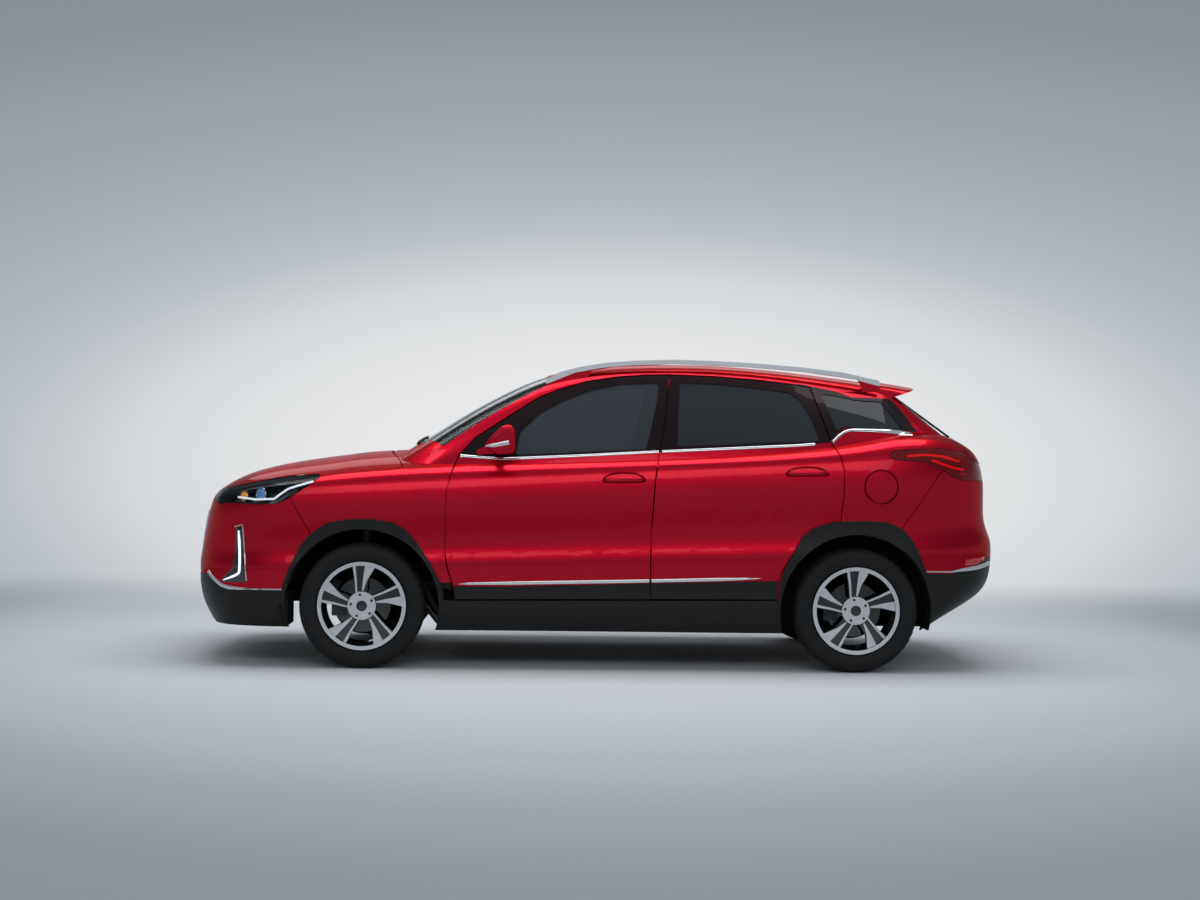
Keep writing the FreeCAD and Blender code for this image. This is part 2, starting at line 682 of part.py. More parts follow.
FRONT_ROOM = side_prism(FRONT_DOOR_SHARES, GAP)
door_sets = {
    "front": door_parts(
        side_prism(FRONT_DOOR_SHARES), side_prism(FRONT_DOOR_SHARES, -LAP), FRONT_WINDOW_SHARES,
        FRONT_RECESS_SHARES,
    ),
    "rear": door_parts(
        side_prism(REAR_DOOR_SHARES).cut(FRONT_ROOM),
        side_prism(REAR_DOOR_SHARES, -LAP).cut(side_prism(FRONT_DOOR_SHARES, GAP + LAP)),
        REAR_WINDOW_SHARES, REAR_RECESS_SHARES,
    ),
}
for end, pieces in door_sets.items():
    for suffix, piece in zip(("door", "door_glass", "door_cladding"), pieces):
        node(f"{end}_left_{suffix}", piece)
        node(f"{end}_right_{suffix}", mirrored(piece))

# Lamps, hood, fenders and bumpers

PANEL = size("hood_wall")
LAMP = size("lamp_wall")
LAMP_ROUND = up(0.008)
LAMP_INNER = out(0.40)
headlamp_room = side_prism(HEADLAMP_SHARES, SEAM, LAMP_ROUND, LAMP_INNER - SEAM)
headlamp = panel(side_prism(HEADLAMP_SHARES, 0, LAMP_ROUND, LAMP_INNER), lower_half(0), [lower_half(LAMP)])
node("headlamps", pair(headlamp))

HOOD_LOW = up(0.485)
CABIN_ROOM = cabin_half(-GAP)
lamp_room = side_prism(HEADLAMP_SHARES, LID_GAP, LAMP_ROUND, LAMP_INNER - LID_GAP)
hood_cut = [lamp_room, CABIN_ROOM]
hood = panel(plan_prism(HOOD_SHARES, HOOD_LOW), lower_half(0), [lower_half(PANEL)], hood_cut)
node("hood", joined(hood))
hood_room = plan_prism(HOOD_SHARES, HOOD_LOW - LID_GAP, LID_GAP)

FRONT_SIDE = slab(-LENGTH, along(1.3), -SIDE_REACH, -out(0.6), 0, HEIGHT)
sill_room = side_prism(SILL_SHARES, SEAM)
fender_region = side_prism(FENDER_SHARES).common(FRONT_SIDE)
fender_cuts = [FRONT_ROOM, hood_room, headlamp_room, ARCH_CUT, sill_room, cabin_half(-SEAT)]
fender = panel(fender_region, lower_half(0), [lower_half(PANEL)], fender_cuts)
node("fenders", pair(fender))

CORE_X = along(0.4)
grille_prism = end_prism(GRILLE_SHARES, -LENGTH, CORE_X, 0, LAMP_ROUND)
intake_prism = end_prism(INTAKE_SHARES, -LENGTH, CORE_X, 0, LAMP_ROUND)
chin_prism = side_prism(FRONT_CHIN_SHARES)
chin_room = side_prism(FRONT_CHIN_SHARES, SEAT)
bumper_cuts = [hood_room, headlamp_room, ARCH_CUT, grille_prism, intake_prism, chin_room]
bumper = panel(side_prism(FRONT_BUMPER_SHARES, -SEAM), lower_half(0), [lower_half(PANEL)], bumper_cuts)
node("front_bumper", joined(bumper))
chin = panel(chin_prism, lower_half(0), [lower_half(PANEL)], [ARCH_CUT, intake_prism])
node("front_chin", joined(chin))

SLAT = size("slat_height")
PITCH = size("slat_pitch")


def slatted(table):
    """A rim with level slats across it, as deep as the grille."""
    opening = end_prism(table, -LENGTH, CORE_X, -SEAT, LAMP_ROUND)
    face = [opening.cut(end_prism(table, -LENGTH, CORE_X, -SLAT, LAMP_ROUND))]
    z = opening.BoundBox.ZMin + PITCH
    while z < opening.BoundBox.ZMax - SLAT:
        face.append(slab(-LENGTH, CORE_X, -SIDE_REACH, OVER, z, z + SLAT).common(opening))
        z += PITCH
    whole = face[0].fuse(face[1:])
    return panel(whole, lower_half(SEAT), [lower_half(size("grille_wall"))], [hood_room])


node("grille", Part.makeCompound([joined(slatted(GRILLE_SHARES)), joined(slatted(INTAKE_SHARES))]))

# Hatch, roof, glass and rear panels

HATCH = size("hatch_wall")
HATCH_FRONT = along(2.128)
SHOULDER_X = along(2.30)
RISING = (2, 4, 6)
hatch_prism = end_prism(HATCH_SHARES, HATCH_FRONT, LENGTH)
hatch_room = end_prism(HATCH_SHARES, HATCH_FRONT - GAP, LENGTH, GAP)
hinge = Vector(size("hatch_hinge_x"), 0, size("hatch_hinge_z"))
for angle in RISING:
    risen = end_prism(HATCH_SHARES, SHOULDER_X, LENGTH, GAP)
    risen.rotate(hinge, Vector(0, -1, 0), angle)
    hatch_room = hatch_room.fuse(risen.common(slab(SHOULDER_X, LENGTH, -SIDE_REACH, SIDE_REACH, 0, up(0.8))))
tail_lamp_prism = side_prism(TAIL_LAMP_SHARES, 0, LAMP_ROUND, out(0.3))
tail_room = side_prism(TAIL_LAMP_SHARES, SEAM, LAMP_ROUND, out(0.3))
tail_lamp = panel(tail_lamp_prism, OUTER, [lower_half(LAMP), cabin_half(LAMP)], [hatch_room])
node("tail_lamps", pair(tail_lamp))

backlight_low = up(0.72)
hatch_cuts = [
    side_prism(TAIL_LAMP_SHARES, GAP, LAMP_ROUND, out(0.3)),
    plan_prism(BACKLIGHT_SHARES, backlight_low, 0, up(0.02)),
]
hatch_core = end_prism(HATCH_SHARES, HATCH_FRONT - GAP, LENGTH, -size("hatch_rim"))
hatch_hollows = [form(SKIN).cut(hatch_core) for form in (lower_half, cabin_half)]
hatch = panel(hatch_prism, OUTER, [lower_half(HATCH), cabin_half(HATCH)] + hatch_hollows, hatch_cuts)
node("tailgate", joined(hatch))
backlight_prism = plan_prism(BACKLIGHT_SHARES, backlight_low, -SEAT, up(0.02))
backlight = panel(backlight_prism, cabin_half(GLASS_IN), [cabin_half(GLASS_OUT)])
node("tailgate_glass", joined(backlight))
spoiler_form = cabin_half(0, SPOILER_RIB_SHARES).common(hatch_prism)
spoiler = panel(side_prism(SPOILER_SHARES), spoiler_form, [cabin_half(-SEAT)])
node("spoiler", joined(spoiler))

ROOF_LOW = up(0.8)
roof = panel(plan_prism(ROOF_SHARES, ROOF_LOW), cabin_half(0), [cabin_half(size("roof_wall"))])
node("roof", joined(roof))
screen_low = up(0.66)
screen = panel(
    plan_prism(WINDSHIELD_SHARES, screen_low, -SEAT, up(0.03)), cabin_half(GLASS_IN), [cabin_half(GLASS_OUT)]
)
node("windshield", joined(screen))
quarter_pane = panel(
    side_prism(QUARTER_GLASS_SHARES, -SEAT, LAMP_ROUND), cabin_half(GLASS_IN), [cabin_half(GLASS_OUT)]
)
node("quarter_glass", pair(quarter_pane))

# Fuel flap

FLAP_X, FLAP_Z = along(2.148), up(0.593)
FLAP_R = size("fuel_flap_diameter") / 2


def flap_bar(radius):
    return round_bar(2 * radius, Vector(FLAP_X, -out(0.9), FLAP_Z), Vector(FLAP_X, -SIDE_REACH, FLAP_Z))


node("fuel_flap", panel(flap_bar(FLAP_R), lower_half(0), [lower_half(SKIN)]))
flap_pocket = flap_bar(FLAP_R + GAP).cut(lower_half(FRAME))

rear_room = side_prism(REAR_BUMPER_SHARES, SEAM)
tail_slab = slab(REAR_AXLE + ARCH - GAP, along(2.82), -out(0.64), OVER, 0, up(0.33))
aperture_flange = body_half(SKIN + GAP, SKIN + GAP)
body = OUTER.cut(WALL[0]).cut(WALL[1])
body_cuts = [
    side_prism(QUARTER_GLASS_SHARES, 0, LAMP_ROUND),
    side_prism(FRONT_DOOR_SHARES, GAP).cut(aperture_flange), side_prism(FRONT_DOOR_SHARES, GAP - LAP),
    side_prism(REAR_DOOR_SHARES, GAP).cut(aperture_flange), side_prism(REAR_DOOR_SHARES, GAP - LAP),
    side_prism(BODY_FRONT_SHARES),
    side_prism(FENDER_SHARES, SEAM).common(FRONT_SIDE).cut(lower_half(PANEL + SEAT)).cut(cabin_half(0)),
    rear_room.cut(lower_half(PANEL + SEAT)),
    hood_room.cut(cabin_half(-SEAT)), tail_slab,
    tail_room.cut(lower_half(LAMP + SEAT)).cut(cabin_half(LAMP + SEAT)), hatch_room,
    plan_prism(ROOF_SHARES, ROOF_LOW, SEAT),
    plan_prism(WINDSHIELD_SHARES, screen_low, 0, up(0.03)),
    ARCH_CUT,
    swing_cutter(FRONT_HINGE_X), swing_cutter(REAR_HINGE_X), flap_pocket,
    side_prism(SILL_SHARES).cut(lower_half(size("cladding_wall") + SEAT)),
]
for cutter in body_cuts:
    body = body.cut(cutter)
body = solids_of(body)
node("body_shell", joined(body))

rear_cuts = [hatch_room, tail_room, ARCH_CUT]
rear_bumper = panel(
    side_prism(REAR_BUMPER_SHARES), lower_half(0), [lower_half(PANEL)],
    rear_cuts + [side_prism(REAR_CHIN_SHARES, SEAT)],
)
node("rear_bumper", joined(rear_bumper))
rear_chin = panel(side_prism(REAR_CHIN_SHARES), lower_half(0), [lower_half(PANEL)], [ARCH_CUT])
node("rear_chin", joined(rear_chin))
sill = panel(
    side_prism(SILL_SHARES, 0, 0, out(0.885)), lower_half(-PROUD), [lower_half(size("cladding_wall"))],
    [ARCH_CUT]
)
sill_cut = side_prism(SILL_SHARES, SEAT)


def arch_band(x, table, start, cuts):
    """The raised band round a left wheel opening."""
    corners = [polar(ARCH * share, angle, 0) + Vector(x, -start, AXLE_HEIGHT) for share, angle in table]
    outline = rounded_face(corners, OVER).extrude(Vector(0, start - SIDE_REACH, 0))
    return panel(outline, lower_half(-PROUD), [lower_half(-SEAT)], [ARCH_CUT, sill_cut] + cuts)


bands = [
    arch_band(FRONT_AXLE, FRONT_BAND_SHARES, out(0.7), [FRONT_ROOM]),
    arch_band(REAR_AXLE, REAR_BAND_SHARES, out(0.7), [side_prism(REAR_DOOR_SHARES, GAP)]),
]
node("side_cladding", pair(Part.makeCompound(list(sill.Solids) + [s for band in bands for s in band.Solids])))

# Mirrors and roof rails

MIRROR_ROUND = size("mirror_round")


def rounded_box(length, width, height, centre, rounding):
    """A box about a centre, with all its edges rounded."""
    corner = centre - Vector(length, width, height) / 2
    box = Part.makeBox(length, width, height, corner)
    return box.makeFillet(rounding, box.Edges)


mirror_outer, mirror_inner = out(0.99) + size("mirror_width"), out(0.99)
mirror_face = rounded_face([Vector(along(p), -mirror_inner, up(h)) for p, h in MIRROR_SHARES], MIRROR_ROUND)
housing = mirror_face.extrude(Vector(0, mirror_inner - mirror_outer, 0))
housing = housing.makeFillet(MIRROR_ROUND * 0.8, housing.Edges)
arm_start, arm_end = Vector(along(1.268), -out(0.80), up(0.70)), Vector(along(1.276), -out(1.02), up(0.715))
arm = round_bar(size("mirror_arm"), arm_start, arm_end)
mirror_foot = side_prism(MIRROR_FOOT_SHARES, 0, LAMP_ROUND, out(0.5)).common(cabin_half(-PROUD))
mirror = solids_of(housing.fuse([arm, mirror_foot]).cut(lower_half(-SEAT)).cut(cabin_half(-SEAT)))
node("left_mirror", mirror)
node("right_mirror", mirrored(mirror))

rail_y = out(0.64)
rail_side = slab(-LENGTH, LENGTH, -rail_y, size("rail_width") - rail_y, up(0.8), HEIGHT + OVER)
rail = side_prism(RAIL_SHARES, 0, up(0.01)).cut(side_prism(RAIL_SLOT_SHARES, 0, up(0.01)))
rail = rail.common(rail_side).cut(cabin_half(-SEAT))
rail = rail.cut(end_prism(HATCH_SHARES, HATCH_FRONT - GAP, LENGTH, 3 * GAP))
node("roof_rails", pair(solids_of(rail)))

# Wheels: their axis lies along Y, and their outer face looks to the left

TYRE_HALF = size("tyre_width") / 2
RIM_HALF = size("rim_width") / 2
BEAD_R = size("bead_diameter") / 2
FLANGE = size("rim_flange")
RIM_WALL = size("rim_wall")


def revolved(profile):
    """A ring from a profile of radius and place along the axle."""
    points = [Vector(radius, y, 0) for radius, y in profile]
    return Part.Face(Part.makePolygon(points + points[:1])).revolve(MIDDLE, Vector(0, 1, 0), 360)


def faceted(profile, sides):
    """A ring from a profile of radius and place along the axle, with flat facets."""
    rings = [[polar(radius, n * 360 / sides, y) for n in range(sides)] for radius, y in profile]
    faces = []
    for inner, outer in zip(rings, rings[1:] + rings[:1]):
        for n in range(sides):
            corners = [inner[n - 1], inner[n], outer[n], outer[n - 1], inner[n - 1]]
            faces.append(Part.Face(Part.makePolygon(corners)))
    shell = Part.Shell(faces)
    shell.sewShape()
    solid = Part.Solid(shell)
    if solid.Volume < 0:
        solid.reverse()
    return solid


def tyre_shape():
    bead, bead_half = BEAD_R + SEAT, RIM_HALF - SEAT
    depth = TYRE_RADIUS - bead
    side = [(bead, bead_half), (BEAD_R + FLANGE + SEAT, bead_half)]
    side += [(bead + radial * depth, across * TYRE_HALF) for radial, across in TYRE_SHARES]
    return faceted([(r, -y) for r, y in side] + [(r, y) for r, y in reversed(side)], TYRE_SIDES)


SPOKE_FACE = -RIM_HALF - RIM_WALL + size("spoke_inset")
SPOKE_BACK = SPOKE_FACE + size("spoke_wall")
WEB_FACE = SPOKE_FACE + size("web_inset")
HUB_BACK = SPOKE_BACK + size("hub_pad")
DISC_R, DISC_WALL = size("disc_diameter") / 2, size("disc_wall")
BORE_R = size("hub_bore") / 2
HUB_R = size("hub_diameter") / 2
SPOKES = 5


def rim_shape():
    flange_r, well_r = BEAD_R + FLANGE, BEAD_R - 2 * RIM_WALL
    step, lip = RIM_HALF * RIM_STEP_SHARE, RIM_HALF + RIM_WALL
    contour = [
        (flange_r, -lip), (flange_r, -RIM_HALF), (BEAD_R, -RIM_HALF), (BEAD_R - SEAT, -step - RIM_WALL),
        (well_r, -step + RIM_WALL), (well_r, step - RIM_WALL), (BEAD_R - SEAT, step + RIM_WALL),
        (BEAD_R, RIM_HALF),
        (flange_r, RIM_HALF), (flange_r, lip),
    ]
    inner = [(r - RIM_WALL, y) for r, y in contour[3:7]]
    contour += [(BEAD_R - RIM_WALL, lip)] + inner[::-1] + [(BEAD_R - RIM_WALL, -lip)]
    rim = revolved(contour)
    pieces = [Part.makeCylinder(HUB_R, HUB_BACK - SPOKE_FACE, Vector(0, SPOKE_FACE, 0), Vector(0, 1, 0))]
    for number in range(SPOKES):
        for table, face_y in (
            (WEB_SHARES, WEB_FACE), (BLADE_SHARES, SPOKE_FACE), (THIN_SPOKE_SHARES, SPOKE_FACE),
        ):
            points = [polar(r * BEAD_R, a + number * 360 / SPOKES, face_y) for r, a in table]
            pieces.append(rounded_face(points).extrude(Vector(0, SPOKE_BACK - face_y, 0)))
    rim = rim.fuse(pieces)
    axle = [Part.makeCylinder(BORE_R, TYRE_HALF, Vector(0, SPOKE_BACK, 0), Vector(0, 1, 0))]
    for number in range(SPOKES):
        centre = polar(size("bolt_circle") / 2, (number + LUG_SHARE) * 360 / SPOKES, -TYRE_HALF)
        axle.append(Part.makeCylinder(size("bolt_hole") / 2, 2 * TYRE_HALF, centre, Vector(0, 1, 0)))
    hat = revolved([
        (BORE_R, HUB_BACK + SEAT), (HUB_R, HUB_BACK + SEAT), (HUB_R, DISC_START), (DISC_R, DISC_START),
        (DISC_R, DISC_START + DISC_WALL), (BORE_R, DISC_START + DISC_WALL),
    ])
    return Part.makeCompound([rim.cut(axle), hat])


DISC_START = HUB_BACK + RIM_WALL * 2

tyre, rim = tyre_shape(), rim_shape()
for end, x in (("front", FRONT_AXLE), ("rear", REAR_AXLE)):
    for side, sign in (("left", -1), ("right", 1)):
        for suffix, shape in (("tyre", tyre), ("wheel", rim)):
            item = node(f"{end}_{side}_{suffix}", shape if sign < 0 else mirrored(shape))
            item.Placement = Placement(Vector(x, sign * WHEEL_Y, AXLE_HEIGHT), Rotation())

# Running gear

DISC_IN = -WHEEL_Y + DISC_START + DISC_WALL
KNUCKLE_OUT = DISC_IN + OVER / 6
BAR = size("arm_wall")


def hub_spindle(x, start_y):
    """The stub that fills a left hub's bore, from the carrier to the back of the spokes."""
    hub_y = SPOKE_BACK - WHEEL_Y + SEAT
    return round_bar(2 * (BORE_R - SEAT), Vector(x, start_y, AXLE_HEIGHT), Vector(x, hub_y, AXLE_HEIGHT))


def caliper(x):
    """A block astride the disc, behind or ahead of the axle, on the left."""
    reach, wall = DISC_R * 1.12, DISC_WALL
    y0, y1 = DISC_START - WHEEL_Y - wall, KNUCKLE_OUT + wall
    block = slab(x - reach, x - DISC_R * 0.62, y0, y1, AXLE_HEIGHT - DISC_R * 0.4, AXLE_HEIGHT + DISC_R * 0.4)
    slot_start = Vector(x, DISC_START - WHEEL_Y - OVER / 10, AXLE_HEIGHT)
    slot = round_bar(2 * DISC_R + OVER / 5, slot_start, Vector(x, DISC_IN + OVER / 10, AXLE_HEIGHT))
    return block.cut(slot)


KING_TOP = Vector(FRONT_AXLE, -size("kingpin_top_track") / 2, size("kingpin_top"))
KING_BASE = Vector(FRONT_AXLE, -size("kingpin_base_track") / 2, size("kingpin_base"))
STRUT_FOOT = Vector(FRONT_AXLE, -out(0.712), AXLE_HEIGHT + DISC_R * 0.62)
upright_z = KING_BASE.z + BAR / 3
upright = slab(
    FRONT_AXLE - 2 * BAR, FRONT_AXLE + 2 * BAR, KNUCKLE_OUT, KNUCKLE_OUT + 1.5 * BAR, upright_z, STRUT_FOOT.z,
)
foot = slab(
    FRONT_AXLE - BAR, FRONT_AXLE + BAR, KNUCKLE_OUT, STRUT_FOOT.y + BAR, STRUT_FOOT.z - 2 * BAR, STRUT_FOOT.z,
)
bridge = slab(
    FRONT_AXLE - DISC_R, FRONT_AXLE, KNUCKLE_OUT, KNUCKLE_OUT + DISC_WALL,
    AXLE_HEIGHT - BAR, AXLE_HEIGHT + BAR,
)
strut = round_bar(size("strut_diameter"), STRUT_FOOT - Vector(0, 0, BAR), KING_TOP)
knuckle = upright.fuse([foot, bridge, strut, hub_spindle(FRONT_AXLE, KNUCKLE_OUT + BAR), caliper(FRONT_AXLE)])
node("front_left_knuckle", knuckle)
node("front_right_knuckle", mirrored(knuckle))

BEAM_W, BEAM_H = size("rail_beam_width"), size("rail_beam_height")
rail_out = size("front_house_wall") - OVER / 6
rail_z = AXLE_HEIGHT + BAR * 3
sub_z = KING_BASE.z
subframe = slab(FRONT_AXLE + BAR, FRONT_AXLE + 7 * BAR, -rail_out, 0, sub_z, sub_z + 2 * BAR)
post = slab(
    FRONT_AXLE + 5 * BAR, FRONT_AXLE + 7 * BAR, -rail_out, BEAM_W - rail_out, sub_z + BAR, rail_z - SEAT,
)
arm_tip = KING_BASE - (KING_TOP - KING_BASE).normalize() * BAR / 4
ball = Part.makeSphere(upright_z - SEAT - arm_tip.z, arm_tip)
arm_roots = [Vector(FRONT_AXLE + n * BAR, BAR - rail_out, sub_z + BAR) for n in (2, 6)]
arms = round_bar(BAR, arm_tip, arm_roots[0]).fuse(round_bar(BAR, arm_tip, arm_roots[1]))
under_knuckle = slab(
    FRONT_AXLE - 4 * BAR, FRONT_AXLE + 4 * BAR, -SIDE_REACH, KNUCKLE_OUT + 4 * BAR,
    upright_z - 2 * GAP, HEIGHT,
)
lower_arm = arms.cut(under_knuckle).fuse(ball)
node("front_suspension", joined(subframe.fuse([post, lower_arm])))

rear_arm_y = out(0.66)
beam_x = REAR_AXLE - 7 * BAR
beam = slab(beam_x - BAR, beam_x + BAR, -rear_arm_y, 0, AXLE_HEIGHT - BAR, AXLE_HEIGHT + BAR)
trailing = slab(
    REAR_AXLE - 12 * BAR, REAR_AXLE + 2 * BAR, -rear_arm_y - BAR, -rear_arm_y + BAR,
    AXLE_HEIGHT - BAR, AXLE_HEIGHT + BAR,
)
carrier = slab(
    REAR_AXLE - 2 * BAR, REAR_AXLE + 2 * BAR, KNUCKLE_OUT, -rear_arm_y,
    AXLE_HEIGHT - 2 * BAR, AXLE_HEIGHT + 2 * BAR,
)
FLOOR, FLOOR_Z = size("floor_wall"), size("floor_height")
boot_z = FLOOR_Z + up(FLOOR_SHARES[-1][1]) - FLOOR
damper_foot = Vector(REAR_AXLE + BAR, -rear_arm_y, AXLE_HEIGHT)
damper_top = Vector(damper_foot.x, damper_foot.y, boot_z - SEAT)
damper = round_bar(size("strut_diameter"), damper_foot, damper_top)
rear_bridge = slab(
    REAR_AXLE - DISC_R, REAR_AXLE, KNUCKLE_OUT, KNUCKLE_OUT + DISC_WALL, AXLE_HEIGHT - BAR, AXLE_HEIGHT + BAR,
)
rear_axle = beam.fuse([
    trailing, carrier, damper, rear_bridge, caliper(REAR_AXLE), hub_spindle(REAR_AXLE, KNUCKLE_OUT + BAR),
])
node("rear_axle", joined(rear_axle))

# Wheel-arch liners, floor and front structure

LINER = size("liner_wall")
LINER_OUT = out(0.95)
front_wall, rear_wall = size("front_house_wall"), size("rear_house_wall")


def liner(x, wall, low):
    """A left wheel-arch liner: an arched shell with an inner wall."""
    radius = ARCH - SEAT
    start, end = Vector(x, -wall - SEAT, AXLE_HEIGHT), Vector(x, -LINER_OUT, AXLE_HEIGHT)
    shell = round_bar(2 * radius, start, end)
    hollow = round_bar(2 * (radius - LINER), start - Vector(0, LINER, 0), end - Vector(0, OVER, 0))
    return shell.cut(hollow).cut(slab(x - ARCH, x + ARCH, -SIDE_REACH, 0, -ARCH, low))


strut_hole = Part.makeCylinder(
    size("strut_diameter") * 1.3, HEIGHT, Vector(FRONT_AXLE, -out(0.70), AXLE_HEIGHT + ARCH * 0.8)
)
front_liner = liner(FRONT_AXLE, front_wall, AXLE_HEIGHT + 3 * BAR).cut(strut_hole)
damper_room = round_bar(size("strut_diameter") + 4 * SEAT, damper_foot, damper_top)
rear_liner = liner(REAR_AXLE, rear_wall, AXLE_HEIGHT - ARCH * 0.25).cut(damper_room)
rear_liner = rear_liner.cut(rear_axle)
node("wheel_liners", pair(Part.makeCompound([front_liner, rear_liner])))

centre_line = [Vector(along(s), 0, FLOOR_Z + up(h)) for s, h in FLOOR_SHARES]
lower_line = [point - Vector(0, 0, FLOOR) for point in centre_line]
upper_line = [Vector(p.x + FLOOR * lean, 0, p.z) for p, (_, lean) in zip(centre_line, FLOOR_LEAN_SHARES)]
floor_face = Part.Face(Part.makePolygon(lower_line + upper_line[::-1] + lower_line[:1]))
floor = floor_face.extrude(Vector(0, -HALF_WIDTH, 0)).common(lower_half(DOOR + SEAT))
for cutter in (ARCH_CUT, rear_axle, hatch_room):
    floor = floor.cut(cutter)
PAD, PAD_Y = size("pad_length"), size("pad_track") / 2
for x in (size("front_pad_x"), size("rear_pad_x")):
    pad_z = FLOOR_Z - FLOOR
    floor = floor.fuse(slab(
        x - PAD / 2, x + PAD / 2, -PAD_Y - PAD / 3, PAD / 3 - PAD_Y, pad_z - PAD / 8, pad_z + FLOOR / 2,
    ))
node("floor", joined(solids_of(floor)))

# Engine, front structure and exhaust


def bound(kind, name, sizes, place=None):
    """A primitive of the document whose sizes, and place, follow the sheet."""
    item = doc.addObject(kind, name)
    for prop, expression in sizes.items():
        item.setExpression(prop, expression)
    for axis, expression in (place or {}).items():
        item.setExpression(f"Placement.Base.{axis}", expression)
    return item


FRONT_AXLE_CELLS = "Sizes.front_overhang - Sizes.overall_length / 2"
engine = bound(
    "Part::Box", "engine_block",
    {"Length": "Sizes.engine_length", "Width": "Sizes.engine_width", "Height": "Sizes.engine_height"},
    {
        "x": f"{FRONT_AXLE_CELLS} - Sizes.engine_length / 2 - Sizes.engine_setback",
        "y": "-Sizes.engine_width / 2", "z": "Sizes.engine_floor",
    },
)
engine.Label = "engine"
NODES["engine"] = engine

APRON = size("apron_wall")
FIREWALL_X = along(1.095)
CORE_START = along(0.20)
RAD_WALL, RAD_W, RAD_H = size("radiator_wall"), size("radiator_width"), size("radiator_height")
core_low, core_high = up(0.17), up(0.475)
beam_side = slab(CORE_START, FIREWALL_X, -rail_out, BEAM_W - rail_out, rail_z, rail_z + BEAM_H)
apron = slab(CORE_START, FIREWALL_X, -rail_out, APRON - rail_out, rail_z + BEAM_H, up(0.52))
tower_r = size("strut_diameter") * 2
tower_low, tower_top = AXLE_HEIGHT + ARCH + OVER / 6, KING_TOP.z + 2 * APRON
tower = Part.makeCylinder(tower_r, tower_top - tower_low, Vector(KING_TOP.x, KING_TOP.y, tower_low))
tower_foot = Vector(KING_TOP.x, KING_TOP.y, tower_low)
tower = tower.cut(Part.makeCylinder(tower_r - APRON, KING_TOP.z + APRON - tower_low, tower_foot))
shelf = slab(
    KING_TOP.x - tower_r, KING_TOP.x + tower_r, KING_TOP.y, APRON - rail_out,
    tower_top - APRON * 2, tower_top,
).cut(Part.makeCylinder(tower_r - APRON, HEIGHT, Vector(KING_TOP.x, KING_TOP.y, 0)))
core = slab(CORE_START, CORE_START + RAD_WALL, -rail_out, OVER, core_low, core_high)
core = core.cut(slab(
    CORE_START, CORE_START + RAD_WALL, -RAD_W / 2, OVER, core_low + BEAM_W, core_low + BEAM_W + RAD_H,
))
tie = slab(along(0.28), along(0.36), -SIDE_REACH, APRON - rail_out, up(0.49), up(0.52))
mount = slab(
    FRONT_AXLE - 3 * BAR, FRONT_AXLE - BAR, BEAM_W - rail_out - APRON, -size("engine_width") / 2 - SEAT,
    rail_z + APRON, rail_z + BEAM_H - APRON,
)
structure = beam_side.fuse([apron, tower, shelf, core, tie, mount])
structure = structure.common(slab(-LENGTH, 0, -LENGTH, 0, 0, HEIGHT))
structure = structure.common(lower_half(LAMP + SEAT))
bumper_low, bumper_high = up(0.324), up(0.356)
bumper_beam = slab(-LENGTH, CORE_START, -out(0.62), 0, bumper_low, bumper_high)
bumper_beam = bumper_beam.common(lower_half(PANEL + SEAT)).cut(lower_half(LAMP))
crash_box = slab(-LENGTH, CORE_START + APRON, -rail_out, BEAM_W - rail_out, bumper_low, bumper_high)
crash_box = crash_box.common(lower_half(LAMP - APRON))
structure = structure.fuse([bumper_beam, crash_box])
node("front_frame", joined(solids_of(structure)))

radiator = bound(
    "Part::Box", "radiator_core",
    {"Length": "Sizes.radiator_wall * 0.8", "Width": "Sizes.radiator_width - 2 * Sizes.seat_gap",
     "Height": "Sizes.radiator_height - 2 * Sizes.seat_gap"},
)
radiator.Label = "radiator"
radiator.Placement = Placement(
    Vector(CORE_START + RAD_WALL / 10, SEAT - RAD_W / 2, core_low + BEAM_W + SEAT), Rotation()
)
NODES["radiator"] = radiator

PIPE, PIPE_Z = size("pipe_diameter"), size("pipe_height")
MUFFLER_D, MUFFLER_L = size("muffler_diameter"), size("muffler_length")
muffler_x, muffler_z = along(2.44), AXLE_HEIGHT + BAR
HANGER = size("hanger_wall")
engine_rear = FRONT_AXLE - size("engine_setback") + size("engine_length") / 2
pipe_points = [
    Vector(engine_rear + SEAT, 0, size("engine_floor") + 2 * BAR), Vector(along(1.092), 0, AXLE_HEIGHT),
    Vector(along(1.139), 0, PIPE_Z), Vector(along(1.80), 0, PIPE_Z),
    Vector(along(2.12), 0, muffler_z - BEAM_H), Vector(muffler_x, 0, muffler_z - BEAM_H / 3),
]
muffler_end = Vector(muffler_x, -MUFFLER_L / 2, muffler_z)
exhaust = Part.makeCylinder(MUFFLER_D / 2, MUFFLER_L, muffler_end, Vector(0, 1, 0))
for start, end in zip(pipe_points, pipe_points[1:]):
    exhaust = exhaust.fuse([round_bar(PIPE, start, end), Part.makeSphere(PIPE / 2, end)])
exhaust = exhaust.cut(slab(-LENGTH, engine_rear + SEAT, -PIPE, PIPE, 0, HEIGHT))
hangers = [slab(-HANGER / 2, HANGER / 2, -HANGER, HANGER, PIPE_Z, FLOOR_Z - FLOOR - SEAT)]
for y in (-MUFFLER_L / 3, MUFFLER_L / 3):
    hangers.append(slab(
        muffler_x - HANGER / 2, muffler_x + HANGER / 2, y - HANGER, y + HANGER, muffler_z, boot_z - SEAT,
    ))
node("exhaust", exhaust.fuse(hangers))

# Seats, dashboard and steering wheel

SEAT_W, SEAT_ROUND = size("seat_width"), size("seat_round")
CUSHION_L, CUSHION_H = size("cushion_length"), size("cushion_height")
BACK_H, BACK_WALL = size("backrest_height"), size("backrest_wall")
LEAN = size("seat_lean")


